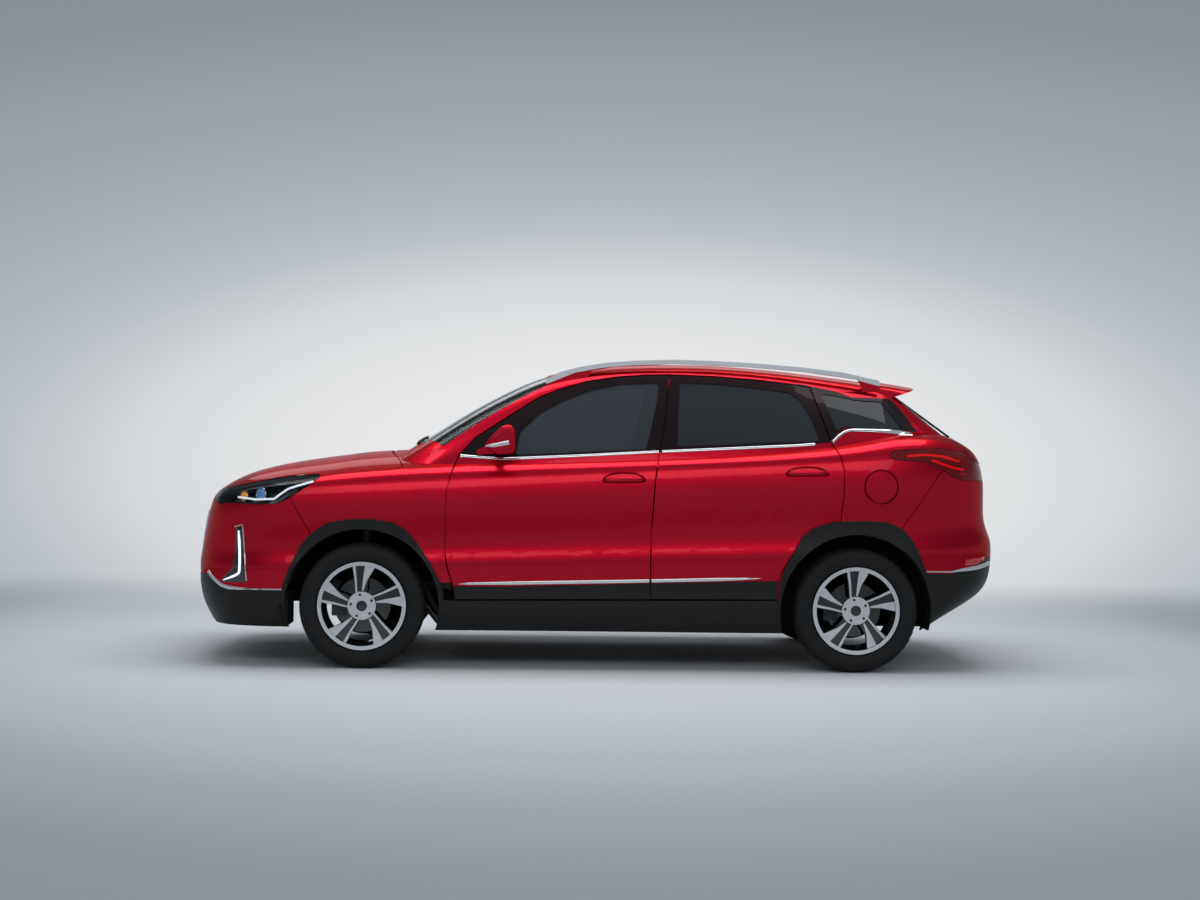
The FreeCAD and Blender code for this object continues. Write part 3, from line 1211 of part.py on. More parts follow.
def seat_set(hip, width, y, rise):
    """A cushion, a leaning backrest and a headrest, from the hip point."""
    cushion = rounded_box(
        CUSHION_L, width, CUSHION_H, Vector(hip.x - CUSHION_L / 2, y, hip.z - CUSHION_H / 2), SEAT_ROUND
    )
    base = slab(
        hip.x - CUSHION_L * 0.85, hip.x - BACK_WALL, y - width * 0.42, y + width * 0.42,
        rise, hip.z - CUSHION_H - SEAT,
    )
    back = rounded_box(BACK_WALL, width, BACK_H, Vector(0, y, (BACK_H + SEAT_ROUND) / 2), SEAT_ROUND)
    rest = rounded_box(
        BACK_WALL * 0.7, SEAT_W * 0.52, BACK_WALL * 1.2,
        Vector(0, y, BACK_H + BACK_WALL * 0.6 + SEAT_ROUND / 2 + SEAT), SEAT_ROUND * 0.8,
    )
    upper = Part.makeCompound([back, rest])
    upper.rotate(MIDDLE, Vector(0, 1, 0), LEAN)
    upper.translate(Vector(hip.x, 0, hip.z - CUSHION_H * 0.45))
    return [base, cushion.cut(upper)] + list(upper.Solids)


seat_solids = []
FLOOR_TOP = FLOOR_Z + SEAT
for y in (-size("seat_track") / 2, size("seat_track") / 2):
    seat_solids += seat_set(Vector(along(1.54), y, up(0.345)), SEAT_W, y, FLOOR_TOP)
bench = seat_set(Vector(along(1.885), 0, up(0.365)), size("bench_width"), 0, FLOOR_Z + up(0.11))
seat_solids += [bench[0].cut(floor)] + bench[1:]
node("seats", Part.makeCompound(seat_solids))

dash_face = rounded_face([Vector(along(s), 0, up(h)) for s, h in DASH_SHARES], size("dash_round"))
dash = dash_face.extrude(Vector(0, -out(0.78), 0)).cut(floor).cut(body)
node("dashboard", joined(dash))

wheel_r, grip = size("steering_wheel_diameter") / 2, size("steering_wheel_grip")
steer_centre = Vector(along(1.362), -size("seat_track") / 2, up(0.560))
tilt = Vector(math.cos(math.radians(LEAN)), 0, math.sin(math.radians(LEAN)))
steer = Part.makeTorus(wheel_r, grip / 2, steer_centre, tilt)
boss = round_bar(wheel_r * 0.8, steer_centre - tilt * grip, steer_centre + tilt * grip / 3)
spoke_bar = round_bar(grip, steer_centre - Vector(0, wheel_r, 0), steer_centre + Vector(0, wheel_r, 0))
column_foot = steer_centre - tilt * (along(1.362) - along(1.28))
column = round_bar(grip * 2, column_foot, steer_centre - tilt * grip / 2)
steer = steer.fuse([boss, spoke_bar, column]).cut(dash)
node("steering_wheel", steer)

doc.recompute()
os.makedirs("parts", exist_ok=True)
for name, item in NODES.items():
    shape = item.Shape
    if {"Invalid", "Error"} & set(item.State) or shape.isNull() or not shape.isValid():
        raise ValueError(f"{name} is not a sound solid")
for name, item in NODES.items():
    item.Shape.exportStep(f"parts/{name}.step")
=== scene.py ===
"""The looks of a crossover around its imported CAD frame.

Metres. X runs to the rear, Y to the car's right and Z up, with the ground at 0. Paths are drawn on
the left side as (X, Z), seen square to it, unless a call names another view. Each left piece is
copied to the right.
"""

import json
import math

import bmesh
import bpy
from mathutils import Euler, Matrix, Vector
from mathutils.bvhtree import BVHTree
from mathutils.geometry import delaunay_2d_cdt

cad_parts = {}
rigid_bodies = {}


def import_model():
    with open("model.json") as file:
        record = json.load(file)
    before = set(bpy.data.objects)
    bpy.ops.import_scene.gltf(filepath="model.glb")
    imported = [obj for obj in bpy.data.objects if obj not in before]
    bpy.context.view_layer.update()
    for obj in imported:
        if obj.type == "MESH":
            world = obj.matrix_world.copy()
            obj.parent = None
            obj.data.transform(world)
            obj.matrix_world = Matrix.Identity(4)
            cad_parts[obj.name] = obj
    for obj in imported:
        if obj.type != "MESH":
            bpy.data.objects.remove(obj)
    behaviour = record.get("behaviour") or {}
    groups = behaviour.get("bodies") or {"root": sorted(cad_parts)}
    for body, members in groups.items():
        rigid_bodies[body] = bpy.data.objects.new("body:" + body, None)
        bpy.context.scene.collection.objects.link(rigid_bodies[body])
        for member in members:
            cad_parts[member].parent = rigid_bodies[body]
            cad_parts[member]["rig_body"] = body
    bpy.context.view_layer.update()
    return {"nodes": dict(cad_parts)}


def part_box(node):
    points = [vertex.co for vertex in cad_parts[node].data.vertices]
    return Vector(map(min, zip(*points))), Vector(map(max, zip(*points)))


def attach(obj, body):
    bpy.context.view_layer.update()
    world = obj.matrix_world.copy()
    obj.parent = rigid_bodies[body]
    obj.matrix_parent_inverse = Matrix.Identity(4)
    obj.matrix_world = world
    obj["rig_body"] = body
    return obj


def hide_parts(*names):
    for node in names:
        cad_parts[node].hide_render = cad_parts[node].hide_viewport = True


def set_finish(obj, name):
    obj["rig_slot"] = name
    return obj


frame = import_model()
CAD = frame["nodes"]

FAR = 3.0  # outside the car on any side
NEAR_SIDE = 0.8  # from the car's middle, where a ray that misses looks for the nearest skin
SEAT = 0.0005  # how far an added piece's edge stands over a skin; its back is sunk twice as far
AXIS = 0.0005  # radius at which a turned profile starts
UP = Vector((0, 0, 1))
ENDS = ("front", "rear")
SIDE = {"left": -1, "right": 1}
CORNERS = [(end, side, sign) for end in ENDS for side, sign in SIDE.items()]

# Shader helpers


def linear(red, green, blue):
    """A colour seen as 0 to 255 on a screen, as the light that it stands for."""
    def one(value):
        value /= 255
        return value / 12.92 if value <= 0.04045 else ((value + 0.055) / 1.055) ** 2.4

    return (one(red), one(green), one(blue), 1.0)


def nodes_of(material):
    """A material's node tree and its main shader."""
    material.use_nodes = True
    tree = material.node_tree
    return tree, next(n for n in tree.nodes if n.type == "BSDF_PRINCIPLED")


def set_inputs(node, inputs):
    """Sets or links a shader node's inputs, each by its name or its place."""
    for name, value in inputs.items():
        if isinstance(value, bpy.types.NodeSocket):
            node.id_data.links.new(value, node.inputs[name])
        else:
            node.inputs[name].default_value = value


def add(tree, kind, *values, **inputs):
    """A new shader node with its first inputs set or linked to the values, and others by name."""
    node = tree.nodes.new(f"ShaderNode{kind}")
    set_inputs(node, dict(enumerate(values)))
    set_inputs(node, inputs)
    return node


def maths(tree, operation, *values, kind="Math", output=0):
    node = add(tree, kind, *values)
    node.operation = operation
    return node.outputs[output]


def length_of(tree, vector):
    return maths(tree, "LENGTH", vector, kind="VectorMath", output="Value")


def shifted_and_scaled(tree, vector, steps):
    """A vector after these steps of (operation, vector)."""
    for operation, by in steps:
        vector = maths(tree, operation, vector, by, kind="VectorMath")
    return vector


def object_place(tree):
    return add(tree, "TexCoord").outputs["Object"]


def axes_of(tree, vector):
    return add(tree, "SeparateXYZ", vector).outputs


def ranged(tree, value, low, high, side="To", kind="LINEAR"):
    """Spreads a value of 0 to 1 from low to high. With side From it brings low to high to 0 to 1."""
    node = add(tree, "MapRange", Value=value)
    node.interpolation_type = kind
    set_inputs(node, {f"{side} Min": low, f"{side} Max": high})
    return node.outputs["Result"]


def relief(tree, shader, height, strength, depth):
    """Bumps a shader by a height of 0 to 1, which stands for this depth in metres."""
    bump = add(tree, "Bump", Strength=strength, Height=height, Distance=depth)
    set_inputs(shader, {"Normal": bump.outputs["Normal"]})


def blended(tree, mask, first, second):
    """The first colour, and the second one where the mask is 1."""
    blend = add(tree, "Mix")
    blend.data_type = "RGBA"
    set_inputs(blend, {"Factor": mask, 6: first, 7: second})
    return blend.outputs[2]


def mixed(tree, first, second, share):
    """A mix of two shaders, with this share of the second."""
    return add(tree, "MixShader", share, first.outputs[0], second.outputs[0])


def height_of(tree, along, table):
    """The height of a drawn line at this X, from shader nodes."""
    curve = add(tree, "FloatCurve")
    low, high = table[0][0], table[-1][0]
    points = curve.mapping.curves[0].points
    shares = [((x - low) / (high - low), z / FAR) for x, z in table]
    points[0].location = shares[0]
    points[1].location = shares[-1]
    for share in shares[1:-1]:
        points.new(*share)
    for point in points:
        point.handle_type = "VECTOR"
    curve.mapping.update()
    set_inputs(curve, {"Value": ranged(tree, along, low, high, "From")})
    return maths(tree, "MULTIPLY", curve.outputs[0], FAR)


# Materials

COAT_ROUGHNESS = 0.03
LEAST_ROUGHNESS = 0.01
GRAIN_DETAIL, GRAIN_DEPTH = 3.0, 0.001


def finish(
    name, colour, roughness, metallic=0.0, coat=0.0, grain=400.0, bump=0.03, spread=0.04, specular=0.5
):
    """A plain finish with a fine procedural grain in its bump and its roughness."""
    material = bpy.data.materials.new(name)
    tree, shader = nodes_of(material)
    place = object_place(tree)
    noise = add(tree, "TexNoise", Vector=place, Scale=grain, Detail=GRAIN_DETAIL).outputs["Fac"]
    rough = ranged(tree, noise, max(roughness - spread, LEAST_ROUGHNESS), roughness + spread)
    set_inputs(shader, {
        "Base Color": colour, "Metallic": metallic, "Roughness": rough, "Specular IOR Level": specular,
        "Coat Weight": coat, "Coat Roughness": COAT_ROUGHNESS,
    })
    if bump:
        relief(tree, shader, noise, bump, GRAIN_DEPTH)
    return material


GLASS = {"grain": 60.0, "bump": 0.0, "spread": 0.005}
GLASS_ROUGHNESS = 0.02
GLANCE = 0.25  # the layer weight's blend, which tells a glance from a look square on
DARK_BODY = (0.01, 0.01, 0.012, 1.0)


def clear(name, tint, least, most, body=DARK_BODY, gloss=1.0):
    """Thin glass or clear plastic. It hides the share least of what is behind it, and most at a glance."""
    material = finish(name, body, GLASS_ROUGHNESS, coat=gloss, specular=gloss / 2, **GLASS)
    tree, shader = nodes_of(material)
    weight = add(tree, "LayerWeight", Blend=GLANCE)
    share = ranged(tree, weight.outputs["Fresnel"], least, most)
    mix = mixed(tree, add(tree, "BsdfTransparent", Color=tint), shader, share)
    set_inputs(tree.nodes["Material Output"], {"Surface": mix.outputs[0]})
    return material


def glow(name, colour, strength, base=(0.8, 0.8, 0.8, 1.0)):
    """A lamp part that looks lit from inside."""
    material = finish(name, base, 0.2, coat=1.0, bump=0.01)
    _, shader = nodes_of(material)
    set_inputs(shader, {"Emission Color": colour, "Emission Strength": strength})
    return material


RED = linear(182, 12, 38)
GRAZING_RED = (0.55, 0.05, 0.09, 1.0)  # what the flakes reflect at a glance
BLACK = (0.006, 0.006, 0.007, 1.0)
SILVER = linear(208, 211, 215)
FLAKES, FLAKE_STRENGTH, FLAKE_DEPTH = 1800.0, 0.12, 0.0002


def flake_paint(name):
    """Red metallic lacquer: fine flakes tilt the metal under a smooth clear coat."""
    material = finish(name, RED, 0.30, metallic=0.88, coat=0.2, bump=0.0, specular=0.15)
    tree, shader = nodes_of(material)
    set_inputs(shader, {"Specular Tint": GRAZING_RED})
    flakes = add(tree, "TexVoronoi", Vector=object_place(tree), Scale=FLAKES)
    relief(tree, shader, flakes.outputs["Distance"], FLAKE_STRENGTH, FLAKE_DEPTH)
    return material


# Lines between paint and black: over BELT and under ROOF_SIDE, or DOOR_TOP, lies the black surround
# of the side glass, and under SILL the black sill
BELT = [
    (-0.90, 1.114), (-0.515, 1.091), (0.303, 1.140), (1.031, 1.182), (1.196, 1.199), (1.285, 1.277),
    (1.80, 1.262),
]
DOOR_TOP = [(-0.90, 2.0), (1.80, 2.0)]
ROOF_SIDE = [
    (-0.90, 1.0), (0.24, 1.0), (0.25, 1.50), (0.36, 1.50), (0.37, 1.0), (1.04, 1.0), (1.05, 1.515),
    (1.26, 1.476), (1.34, 1.446), (1.80, 1.436),
]
SILL = [(-0.95, 0.0), (-0.94, 0.448), (0.90, 0.478), (0.93, 0.0)]


def two_tone(name, roof_side, sill=None):
    """Body paint with the black surround of the side glass, and black under the line of the sill."""
    material = flake_paint(name)
    tree, shader = nodes_of(material)
    axes = axes_of(tree, object_place(tree))
    over_belt = maths(tree, "GREATER_THAN", axes[2], height_of(tree, axes[0], BELT))
    under_roof = maths(tree, "LESS_THAN", axes[2], height_of(tree, axes[0], roof_side))
    mask = maths(tree, "MULTIPLY", over_belt, under_roof)
    mask = maths(tree, "MULTIPLY", mask, maths(tree, "LESS_THAN", axes[0], BELT[-1][0]))
    if sill:
        under_sill = maths(tree, "LESS_THAN", axes[2], height_of(tree, axes[0], sill))
        mask = maths(tree, "MAXIMUM", mask, under_sill)
    painted = maths(tree, "SUBTRACT", 1.0, mask)
    metal = maths(tree, "MULTIPLY", painted, shader.inputs["Metallic"].default_value)
    set_inputs(shader, {"Base Color": blended(tree, mask, RED, BLACK), "Metallic": metal})
    return material


def silver_over(name, line):
    """Body paint that is bright metal over a drawn line."""
    material = flake_paint(name)
    tree, shader = nodes_of(material)
    axes = axes_of(tree, object_place(tree))
    bright = maths(tree, "GREATER_THAN", axes[2], height_of(tree, axes[0], line))
    set_inputs(shader, {"Base Color": blended(tree, bright, RED, SILVER), "Metallic": 0.8})
    return material


THREADS, THREAD_STRENGTH, THREAD_DEPTH = 160.0, 0.5, 0.0005


def fabric(name, colour):
    """Woven seat cloth: two crossed waves make the threads."""
    material = finish(name, colour, 0.9, grain=120.0, bump=0.0)
    tree, shader = nodes_of(material)
    place = object_place(tree)
    waves = []
    for direction in ("X", "Z"):
        wave = add(tree, "TexWave", Vector=place, Scale=THREADS, Distortion=1.0)
        wave.bands_direction = direction
        waves.append(wave.outputs["Fac"])
    relief(tree, shader, maths(tree, "ADD", *waves), THREAD_STRENGTH, THREAD_DEPTH)
    return material


paint = flake_paint("body_red")
door_paint = two_tone("body_red_black_frames", DOOR_TOP)
shell_paint = two_tone("body_red_black_quarter", ROOF_SIDE, SILL)
black_plastic = finish("grained_black", linear(15, 16, 17), 0.45, grain=900.0, bump=0.25, specular=0.3)
soft_black = finish("soft_black", linear(20, 21, 22), 0.6, grain=500.0, bump=0.2, specular=0.3)
gloss_black = finish("gloss_black", BLACK, 0.08, coat=1.0, bump=0.0)
chrome = finish("chrome", linear(214, 217, 221), 0.12, metallic=0.9, bump=0.01)
satin_silver = finish("satin_silver", SILVER, 0.28, metallic=0.7, bump=0.02)
machined = finish("machined_alloy", linear(212, 214, 217), 0.24, metallic=0.75, grain=900.0, bump=0.03)
rubber = finish("rubber", linear(24, 25, 26), 0.75, grain=700.0, bump=0.2, specular=0.25)
steel = finish("dark_steel", linear(48, 50, 52), 0.5, metallic=0.6, grain=200.0, bump=0.1)
cast_iron = finish("cast_iron", linear(70, 70, 72), 0.6, metallic=0.7, grain=150.0, bump=0.3)
alloy_block = finish("engine_alloy", linear(120, 122, 124), 0.55, metallic=0.8, grain=120.0, bump=0.3)
liner = finish("liner_felt", linear(16, 17, 18), 0.85, grain=300.0, bump=0.4, specular=0.2)
pipe_steel = finish("pipe_steel", linear(128, 126, 122), 0.4, metallic=0.9, grain=90.0, bump=0.1)
trim_dark = finish("trim_dark", linear(40, 40, 43), 0.65, grain=650.0, bump=0.25, specular=0.3)
headliner = finish("headliner", linear(150, 149, 146), 0.9, grain=400.0, bump=0.3, specular=0.2)
seat_cloth = fabric("seat_cloth", linear(46, 46, 50))
seat_leather = finish("seat_leather", linear(30, 30, 33), 0.5, grain=260.0, bump=0.35, specular=0.4)
white_plate = finish("plate_white", linear(225, 226, 226), 0.4, bump=0.02)
side_window = clear("side_window", (0.42, 0.45, 0.48, 1.0), 0.35, 1.0, linear(84, 91, 98), 0.25)
rear_window = clear("rear_window", (0.20, 0.22, 0.24, 1.0), 0.65, 1.0, linear(54, 59, 64), 0.25)
front_window = clear("front_window", (0.80, 0.84, 0.84, 1.0), 0.10, 1.0)
clear_lens = clear("clear_lens", (0.93, 0.94, 0.96, 1.0), 0.05, 0.9)
red_lens = clear("red_lens", (0.80, 0.01, 0.015, 1.0), 0.30, 1.0, (0.36, 0.004, 0.008, 1.0))
lamp_white = glow("lamp_white", (0.85, 0.92, 1.0, 1.0), 0.9)
lamp_red = glow("lamp_red", (1.0, 0.03, 0.03, 1.0), 1.6, (0.5, 0.01, 0.01, 1.0))
lamp_amber = glow("lamp_amber", (1.0, 0.35, 0.04, 1.0), 0.4, (0.8, 0.3, 0.05, 1.0))
projector = glow("projector_glass", (0.10, 0.35, 0.85, 1.0), 0.35, linear(90, 120, 150))
reflector_red = finish("reflector_red", linear(190, 16, 22), 0.15, coat=1.0, grain=250.0, bump=0.2)

# Geometry helpers

MERGED = 1e-6  # points of a new piece closer than this become one
CAD_MERGED = 1e-5  # the same for a CAD mesh
SHARP = 35  # degrees, the edge that smooth shading keeps


def placed(name, data):
    """A new object in the scene."""
    made = bpy.data.objects.new(name, data)
    bpy.context.scene.collection.objects.link(made)
    return made


def smoothed(mesh, angle):
    """Shades a mesh smooth, but for edges sharper than this many degrees."""
    mesh.shade_smooth()
    mesh.set_sharp_from_angle(angle=math.radians(angle))


def piece(name, body, vertices, faces, material, slot, smooth=True):
    """A new mesh that rides on a body, with its faces turned outwards."""
    mesh = bpy.data.meshes.new(name)
    mesh.from_pydata([tuple(v) for v in vertices], [], faces)
    tidy = bmesh.new()
    tidy.from_mesh(mesh)
    bmesh.ops.remove_doubles(tidy, verts=tidy.verts, dist=MERGED)
    bmesh.ops.recalc_face_normals(tidy, faces=tidy.faces)
    tidy.to_mesh(mesh)
    tidy.free()
    made = placed(name, mesh)
    mesh.materials.append(material)
    if smooth:
        smoothed(mesh, SHARP)
    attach(made, body)
    if slot:
        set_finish(made, slot)
    return made


def both(made):
    """Adds the same piece on the car's right."""
    mesh = made.data
    points = [(v.co.x, -v.co.y, v.co.z) for v in mesh.vertices]
    faces = [tuple(reversed(p.vertices)) for p in mesh.polygons]
    piece(
        made.name.replace("left", "right"), made["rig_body"].replace("left", "right"), points, faces,
        mesh.materials[0], made.get("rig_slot"), mesh.polygons[0].use_smooth,
    )


def skin(*names):
    """A tree in which rays find these CAD nodes."""
    points, faces = [], []
    for name in names:
        mesh, base = CAD[name].data, len(points)
        points += [v.co.copy() for v in mesh.vertices]
        faces += [[base + i for i in p.vertices] for p in mesh.polygons]
    return BVHTree.FromPolygons(points, faces)


# A view: the place of a ray's start for two drawn coordinates, and the ray's direction
VIEWS = {
    "left": (lambda a, b: Vector((a, -FAR, b)), Vector((0, 1, 0))),
    "front": (lambda a, b: Vector((-FAR, a, b)), Vector((1, 0, 0))),
    "rear": (lambda a, b: Vector((FAR, a, b)), Vector((-1, 0, 0))),
    "top": (lambda a, b: Vector((a, b, FAR)), Vector((0, 0, -1))),
}


def on_skin(tree, view, spot):
    """The point and outward normal of a skin where this view's ray meets it, or else the nearest one."""
    start_of, direction = VIEWS[view]
    start = start_of(*spot)
    hit, normal, _, _ = tree.ray_cast(start, direction)
    if hit is None:
        hit, normal, _, _ = tree.find_nearest(start + direction * (FAR - NEAR_SIDE))
    if normal.dot(direction) > 0:
        normal = -normal
    return hit, normal


def off_skin(tree, view, spot, rise):
    """The point this far outside a skin, where this view's ray meets it."""
    hit, normal = on_skin(tree, view, spot)
    return hit + normal * rise


def next_ones(points, closed):
    """The point that follows each one, the first after the last where the path is closed."""
    return points[1:] + points[:1] if closed else points[1:]


def resample(path, step, closed=False):
    """The same path with corners kept and points no further apart than step."""
    points = [Vector(p) for p in path]
    out = []
    for start, end in zip(points, next_ones(points, closed)):
        count = max(1, math.ceil((end - start).length / step))
        out += [start.lerp(end, i / count) for i in range(count)]
    return out if closed else out + [points[-1]]


def rounded(path, turns=3):
    """An open path with its corners cut smooth."""
    points = [Vector(p) for p in path]
    for _ in range(turns):
        cut = []
        for start, end in zip(points, points[1:]):
            cut += [start.lerp(end, 0.25), start.lerp(end, 0.75)]
        points = [points[0], *cut[1:-1], points[-1]]
    return points


def between(table, share):
    """The value at this share of a table of (share, value)."""
    for (a, low), (b, high) in zip(table, table[1:]):
        if share <= b:
            return low + (high - low) * (share - a) / (b - a)
    return table[-1][1]


def sleeve(rings, sides):
    """The faces over this many rings of points, with both ends capped."""
    faces = []
    for i in range(rings - 1):
        for j in range(sides):
            k = (j + 1) % sides
            faces.append((i * sides + j, i * sides + k, (i + 1) * sides + k, (i + 1) * sides + j))
    faces.append(tuple(range(sides)))
    faces.append(tuple((rings - 1) * sides + j for j in reversed(range(sides))))
    return faces


def spun(sides, count, closed):
    """The faces between the turned copies of a profile, whose last point joins its first if closed."""
    faces = []
    for k in range(sides):
        m = (k + 1) % sides
        for j in range(count if closed else count - 1):
            n = (j + 1) % count
            faces.append((k * count + j, k * count + n, m * count + n, m * count + j))
    return faces


# A strip's section: share of the width, and share of the height over the skin
STRIP_CROWN = [
    (-0.5, 0.0), (-0.46, 0.55), (-0.35, 0.88), (-0.15, 1.0), (0.15, 1.0), (0.35, 0.88), (0.46, 0.55),
    (0.5, 0.0),
]
STRIP_BACK = (0.5, -0.5)
STRIP_STEP = 0.015
EVEN = [(0.0, 1.0), (1.0, 1.0)]


def strip(name, body, tree, path, width, proud, material, slot="rail_metal", view="left", taper=EVEN):
    """A crowned trim strip along a path on a skin. taper holds shares of the width along it."""
    points = resample(path, STRIP_STEP)
    vertices = []
    for i, here in enumerate(points):
        way = points[min(i + 1, len(points) - 1)] - points[max(i - 1, 0)]
        across = Vector((-way.y, way.x)).normalized()
        wide = width * between(taper, i / (len(points) - 1))
        for place, rise in STRIP_CROWN:
            vertices.append(off_skin(tree, view, here + across * place * wide, proud * rise + SEAT))
        for place in STRIP_BACK:
            vertices.append(off_skin(tree, view, here + across * place * wide, -2 * SEAT))
    faces = sleeve(len(points), len(STRIP_CROWN) + len(STRIP_BACK))
    return piece(name, body, vertices, faces, material, slot)


def inside(point, outline):
    """True if a drawn point is inside a closed outline."""
    odd = False
    for start, end in zip(outline, next_ones(outline, True)):
        if (start.y > point.y) != (end.y > point.y):
            if point.x < start.x + (point.y - start.y) * (end.x - start.x) / (end.y - start.y):
                odd = not odd
    return odd


def edge_distance(point, outline):
    """How far a drawn point is from the nearest side of a closed outline."""
    best = FAR
    for start, end in zip(outline, next_ones(outline, True)):
        way = end - start
        share = max(0.0, min(1.0, (point - start).dot(way) / max(way.length_squared, 1e-12)))
        best = min(best, (point - start - way * share).length)
    return best


def grid_inside(edge, step):
    """Grid points in a closed outline that are not too near to it."""
    low = Vector((min(p.x for p in edge), min(p.y for p in edge)))
    high = Vector((max(p.x for p in edge), max(p.y for p in edge)))
    across, up = math.ceil((high.x - low.x) / step), math.ceil((high.y - low.y) / step)
    spots = []
    for i in range(1, across):
        for j in range(1, up):
            x = low.x + (high.x - low.x) * i / across
            spot = Vector((x, low.y + (high.y - low.y) * j / up))
            if inside(spot, edge) and edge_distance(spot, edge) > step * 0.5:
                spots.append(spot)
    return spots


def patch(
    name, body, tree, outline, proud, material, slot, view="left", step=0.012, round_off=0.004
):
    """A closed plate that lies on a skin inside a drawn outline, its edge rounded off."""
    edge = resample(outline, step, closed=True)
    result = delaunay_2d_cdt(edge + grid_inside(edge, step), [], [list(range(len(edge)))], 1, 1e-7)
    top, bottom = [], []
    for spot in result[0]:
        short = max(0.0, 1 - edge_distance(spot, edge) / round_off)
        rise = proud * math.sqrt(max(0.0, 1 - short ** 2))
        top.append(off_skin(tree, view, spot, rise + SEAT))
        bottom.append(off_skin(tree, view, spot, -2 * SEAT))
    count = len(top)
    fronts = [tuple(f) for f in result[2]]
    backs = [tuple(count + i for i in reversed(f)) for f in fronts]
    seen = {}
    for face in fronts:
        for a, b in zip(face, face[1:] + face[:1]):
            seen[(a, b)] = True
    walls = [(a, b, count + b, count + a) for a, b in seen if (b, a) not in seen]
    return piece(name, body, top + bottom, fronts + backs + walls, material, slot)


def tube(name, body, path, radius, material, slot, sides=12, flat=1.0, ends=1.0):
    """A round or flattened bar along a path in space. ends is the share of the radius at its ends."""
    points = [Vector(p) for p in path]
    vertices = []
    for i, here in enumerate(points):
        way = (points[min(i + 1, len(points) - 1)] - points[max(i - 1, 0)]).normalized()
        first = way.cross(UP)
        first = first.normalized() if first.length > 1e-4 else way.orthogonal().normalized()
        second = first.cross(way)
        size = ends if i in (0, len(points) - 1) else 1.0
        for k in range(sides):
            turn = 2 * math.pi * k / sides
            vertices.append(here + (first * math.cos(turn) * flat + second * math.sin(turn)) * radius * size)
    return piece(name, body, vertices, sleeve(len(points), sides), material, slot)


def lathe(name, body, centre, profile, sides, material, slot, depth=None):
    """A turned piece about Y: profile holds (radius, y from the centre), depth cuts a radius shorter."""
    vertices = []
    for k in range(sides):
        turn = 2 * math.pi * k / sides
        for j, (radius, y) in enumerate(profile):
            r = radius - (depth(k, j) if depth else 0.0)
            vertices.append(centre + Vector((r * math.cos(turn), y, r * math.sin(turn))))
    faces = spun(sides, len(profile), closed=True)
    return piece(name, body, vertices, faces, material, slot)


def turned(name, body, centre, axis, profile, sides, material, slot):
    """A turned piece about any axis: profile holds (radius, distance along the axis)."""
    turn = UP.rotation_difference(Vector(axis)).to_matrix()
    vertices = []
    for k in range(sides):
        angle = 2 * math.pi * k / sides
        for radius, rise in profile:
            spot = Vector((radius * math.cos(angle), radius * math.sin(angle), rise))
            vertices.append(Vector(centre) + turn @ spot)
    faces = spun(sides, len(profile), closed=False)
    return piece(name, body, vertices, faces, material, slot)


CHAMFER = 0.0015


def block(name, body, outline, y_from, y_to, material, slot):
    """A flat plate with chamfered edges: outline in (X, Z), its thickness along Y."""
    points = [Vector(p) for p in outline]
    centre = sum(points, Vector((0, 0))) / len(points)
    step = CHAMFER if y_to > y_from else -CHAMFER
    layers = [(y_from, CHAMFER), (y_from + step, 0.0), (y_to - step, 0.0), (y_to, CHAMFER)]
    vertices = []
    for y, inset in layers:
        for p in points:
            q = p - (p - centre).normalized() * inset
            vertices.append((q.x, y, q.y))
    return piece(name, body, vertices, sleeve(len(layers), len(points)), material, slot, smooth=False)


def along_skin(tree, view, path, step, rise):
    """Points this far outside a skin, along a drawn path."""
    return [off_skin(tree, view, p, rise) for p in resample(path, step)]


# Materials of the CAD nodes

PLAIN = {
    "grille": gloss_black, "roof_rails": satin_silver, "windshield": front_window,
    "quarter_glass": rear_window, "tailgate_glass": rear_window, "front_chin": black_plastic,
    "rear_chin": black_plastic, "side_cladding": black_plastic, "wheel_liners": liner, "floor": steel,
    "front_frame": steel, "front_suspension": steel, "rear_axle": steel, "engine": alloy_block,
    "radiator": alloy_block, "exhaust": pipe_steel, "dashboard": trim_dark,
    "steering_wheel": seat_leather, "seats": seat_cloth, "headlamps": gloss_black,
    "tail_lamps": gloss_black, "body_shell": shell_paint, "fenders": shell_paint,
}
for name in ("roof", "front_bumper", "rear_bumper", "hood", "tailgate", "spoiler", "fuel_flap"):
    PLAIN[name] = paint
for side in SIDE:
    PLAIN[f"{side}_mirror"] = paint
    PLAIN[f"front_{side}_knuckle"] = cast_iron
for end, side, _ in CORNERS:
    PLAIN[f"{end}_{side}_door_glass"] = side_window if end == "front" else rear_window
    PLAIN[f"{end}_{side}_door_cladding"] = black_plastic
    PLAIN[f"{end}_{side}_tyre"] = rubber
    PLAIN[f"{end}_{side}_wheel"] = gloss_black
    PLAIN[f"{end}_{side}_door"] = door_paint
for name, node in CAD.items():
    node.data.materials.clear()
    node.data.materials.append(PLAIN[name])


def also(name, material, chosen):
    """Gives a CAD node's faces a second material where chosen(centre, normal) is true."""
    mesh = CAD[name].data
    mesh.materials.append(material)
    number = len(mesh.materials) - 1
    for face in mesh.polygons:
        if chosen(face.center, face.normal):
            face.material_index = number


SPOKE_FACE = 0.862  # |Y| outside which a wheel's faces are machined bright
FACING, INWARDS = 0.9, 0.35  # shares of a face's normal


def machined_face(centre, normal):
    return abs(centre.y) > SPOKE_FACE and abs(normal.y) > FACING


def faces_inwards(centre, normal):
    return centre.y * normal.y < -INWARDS * abs(centre.y)


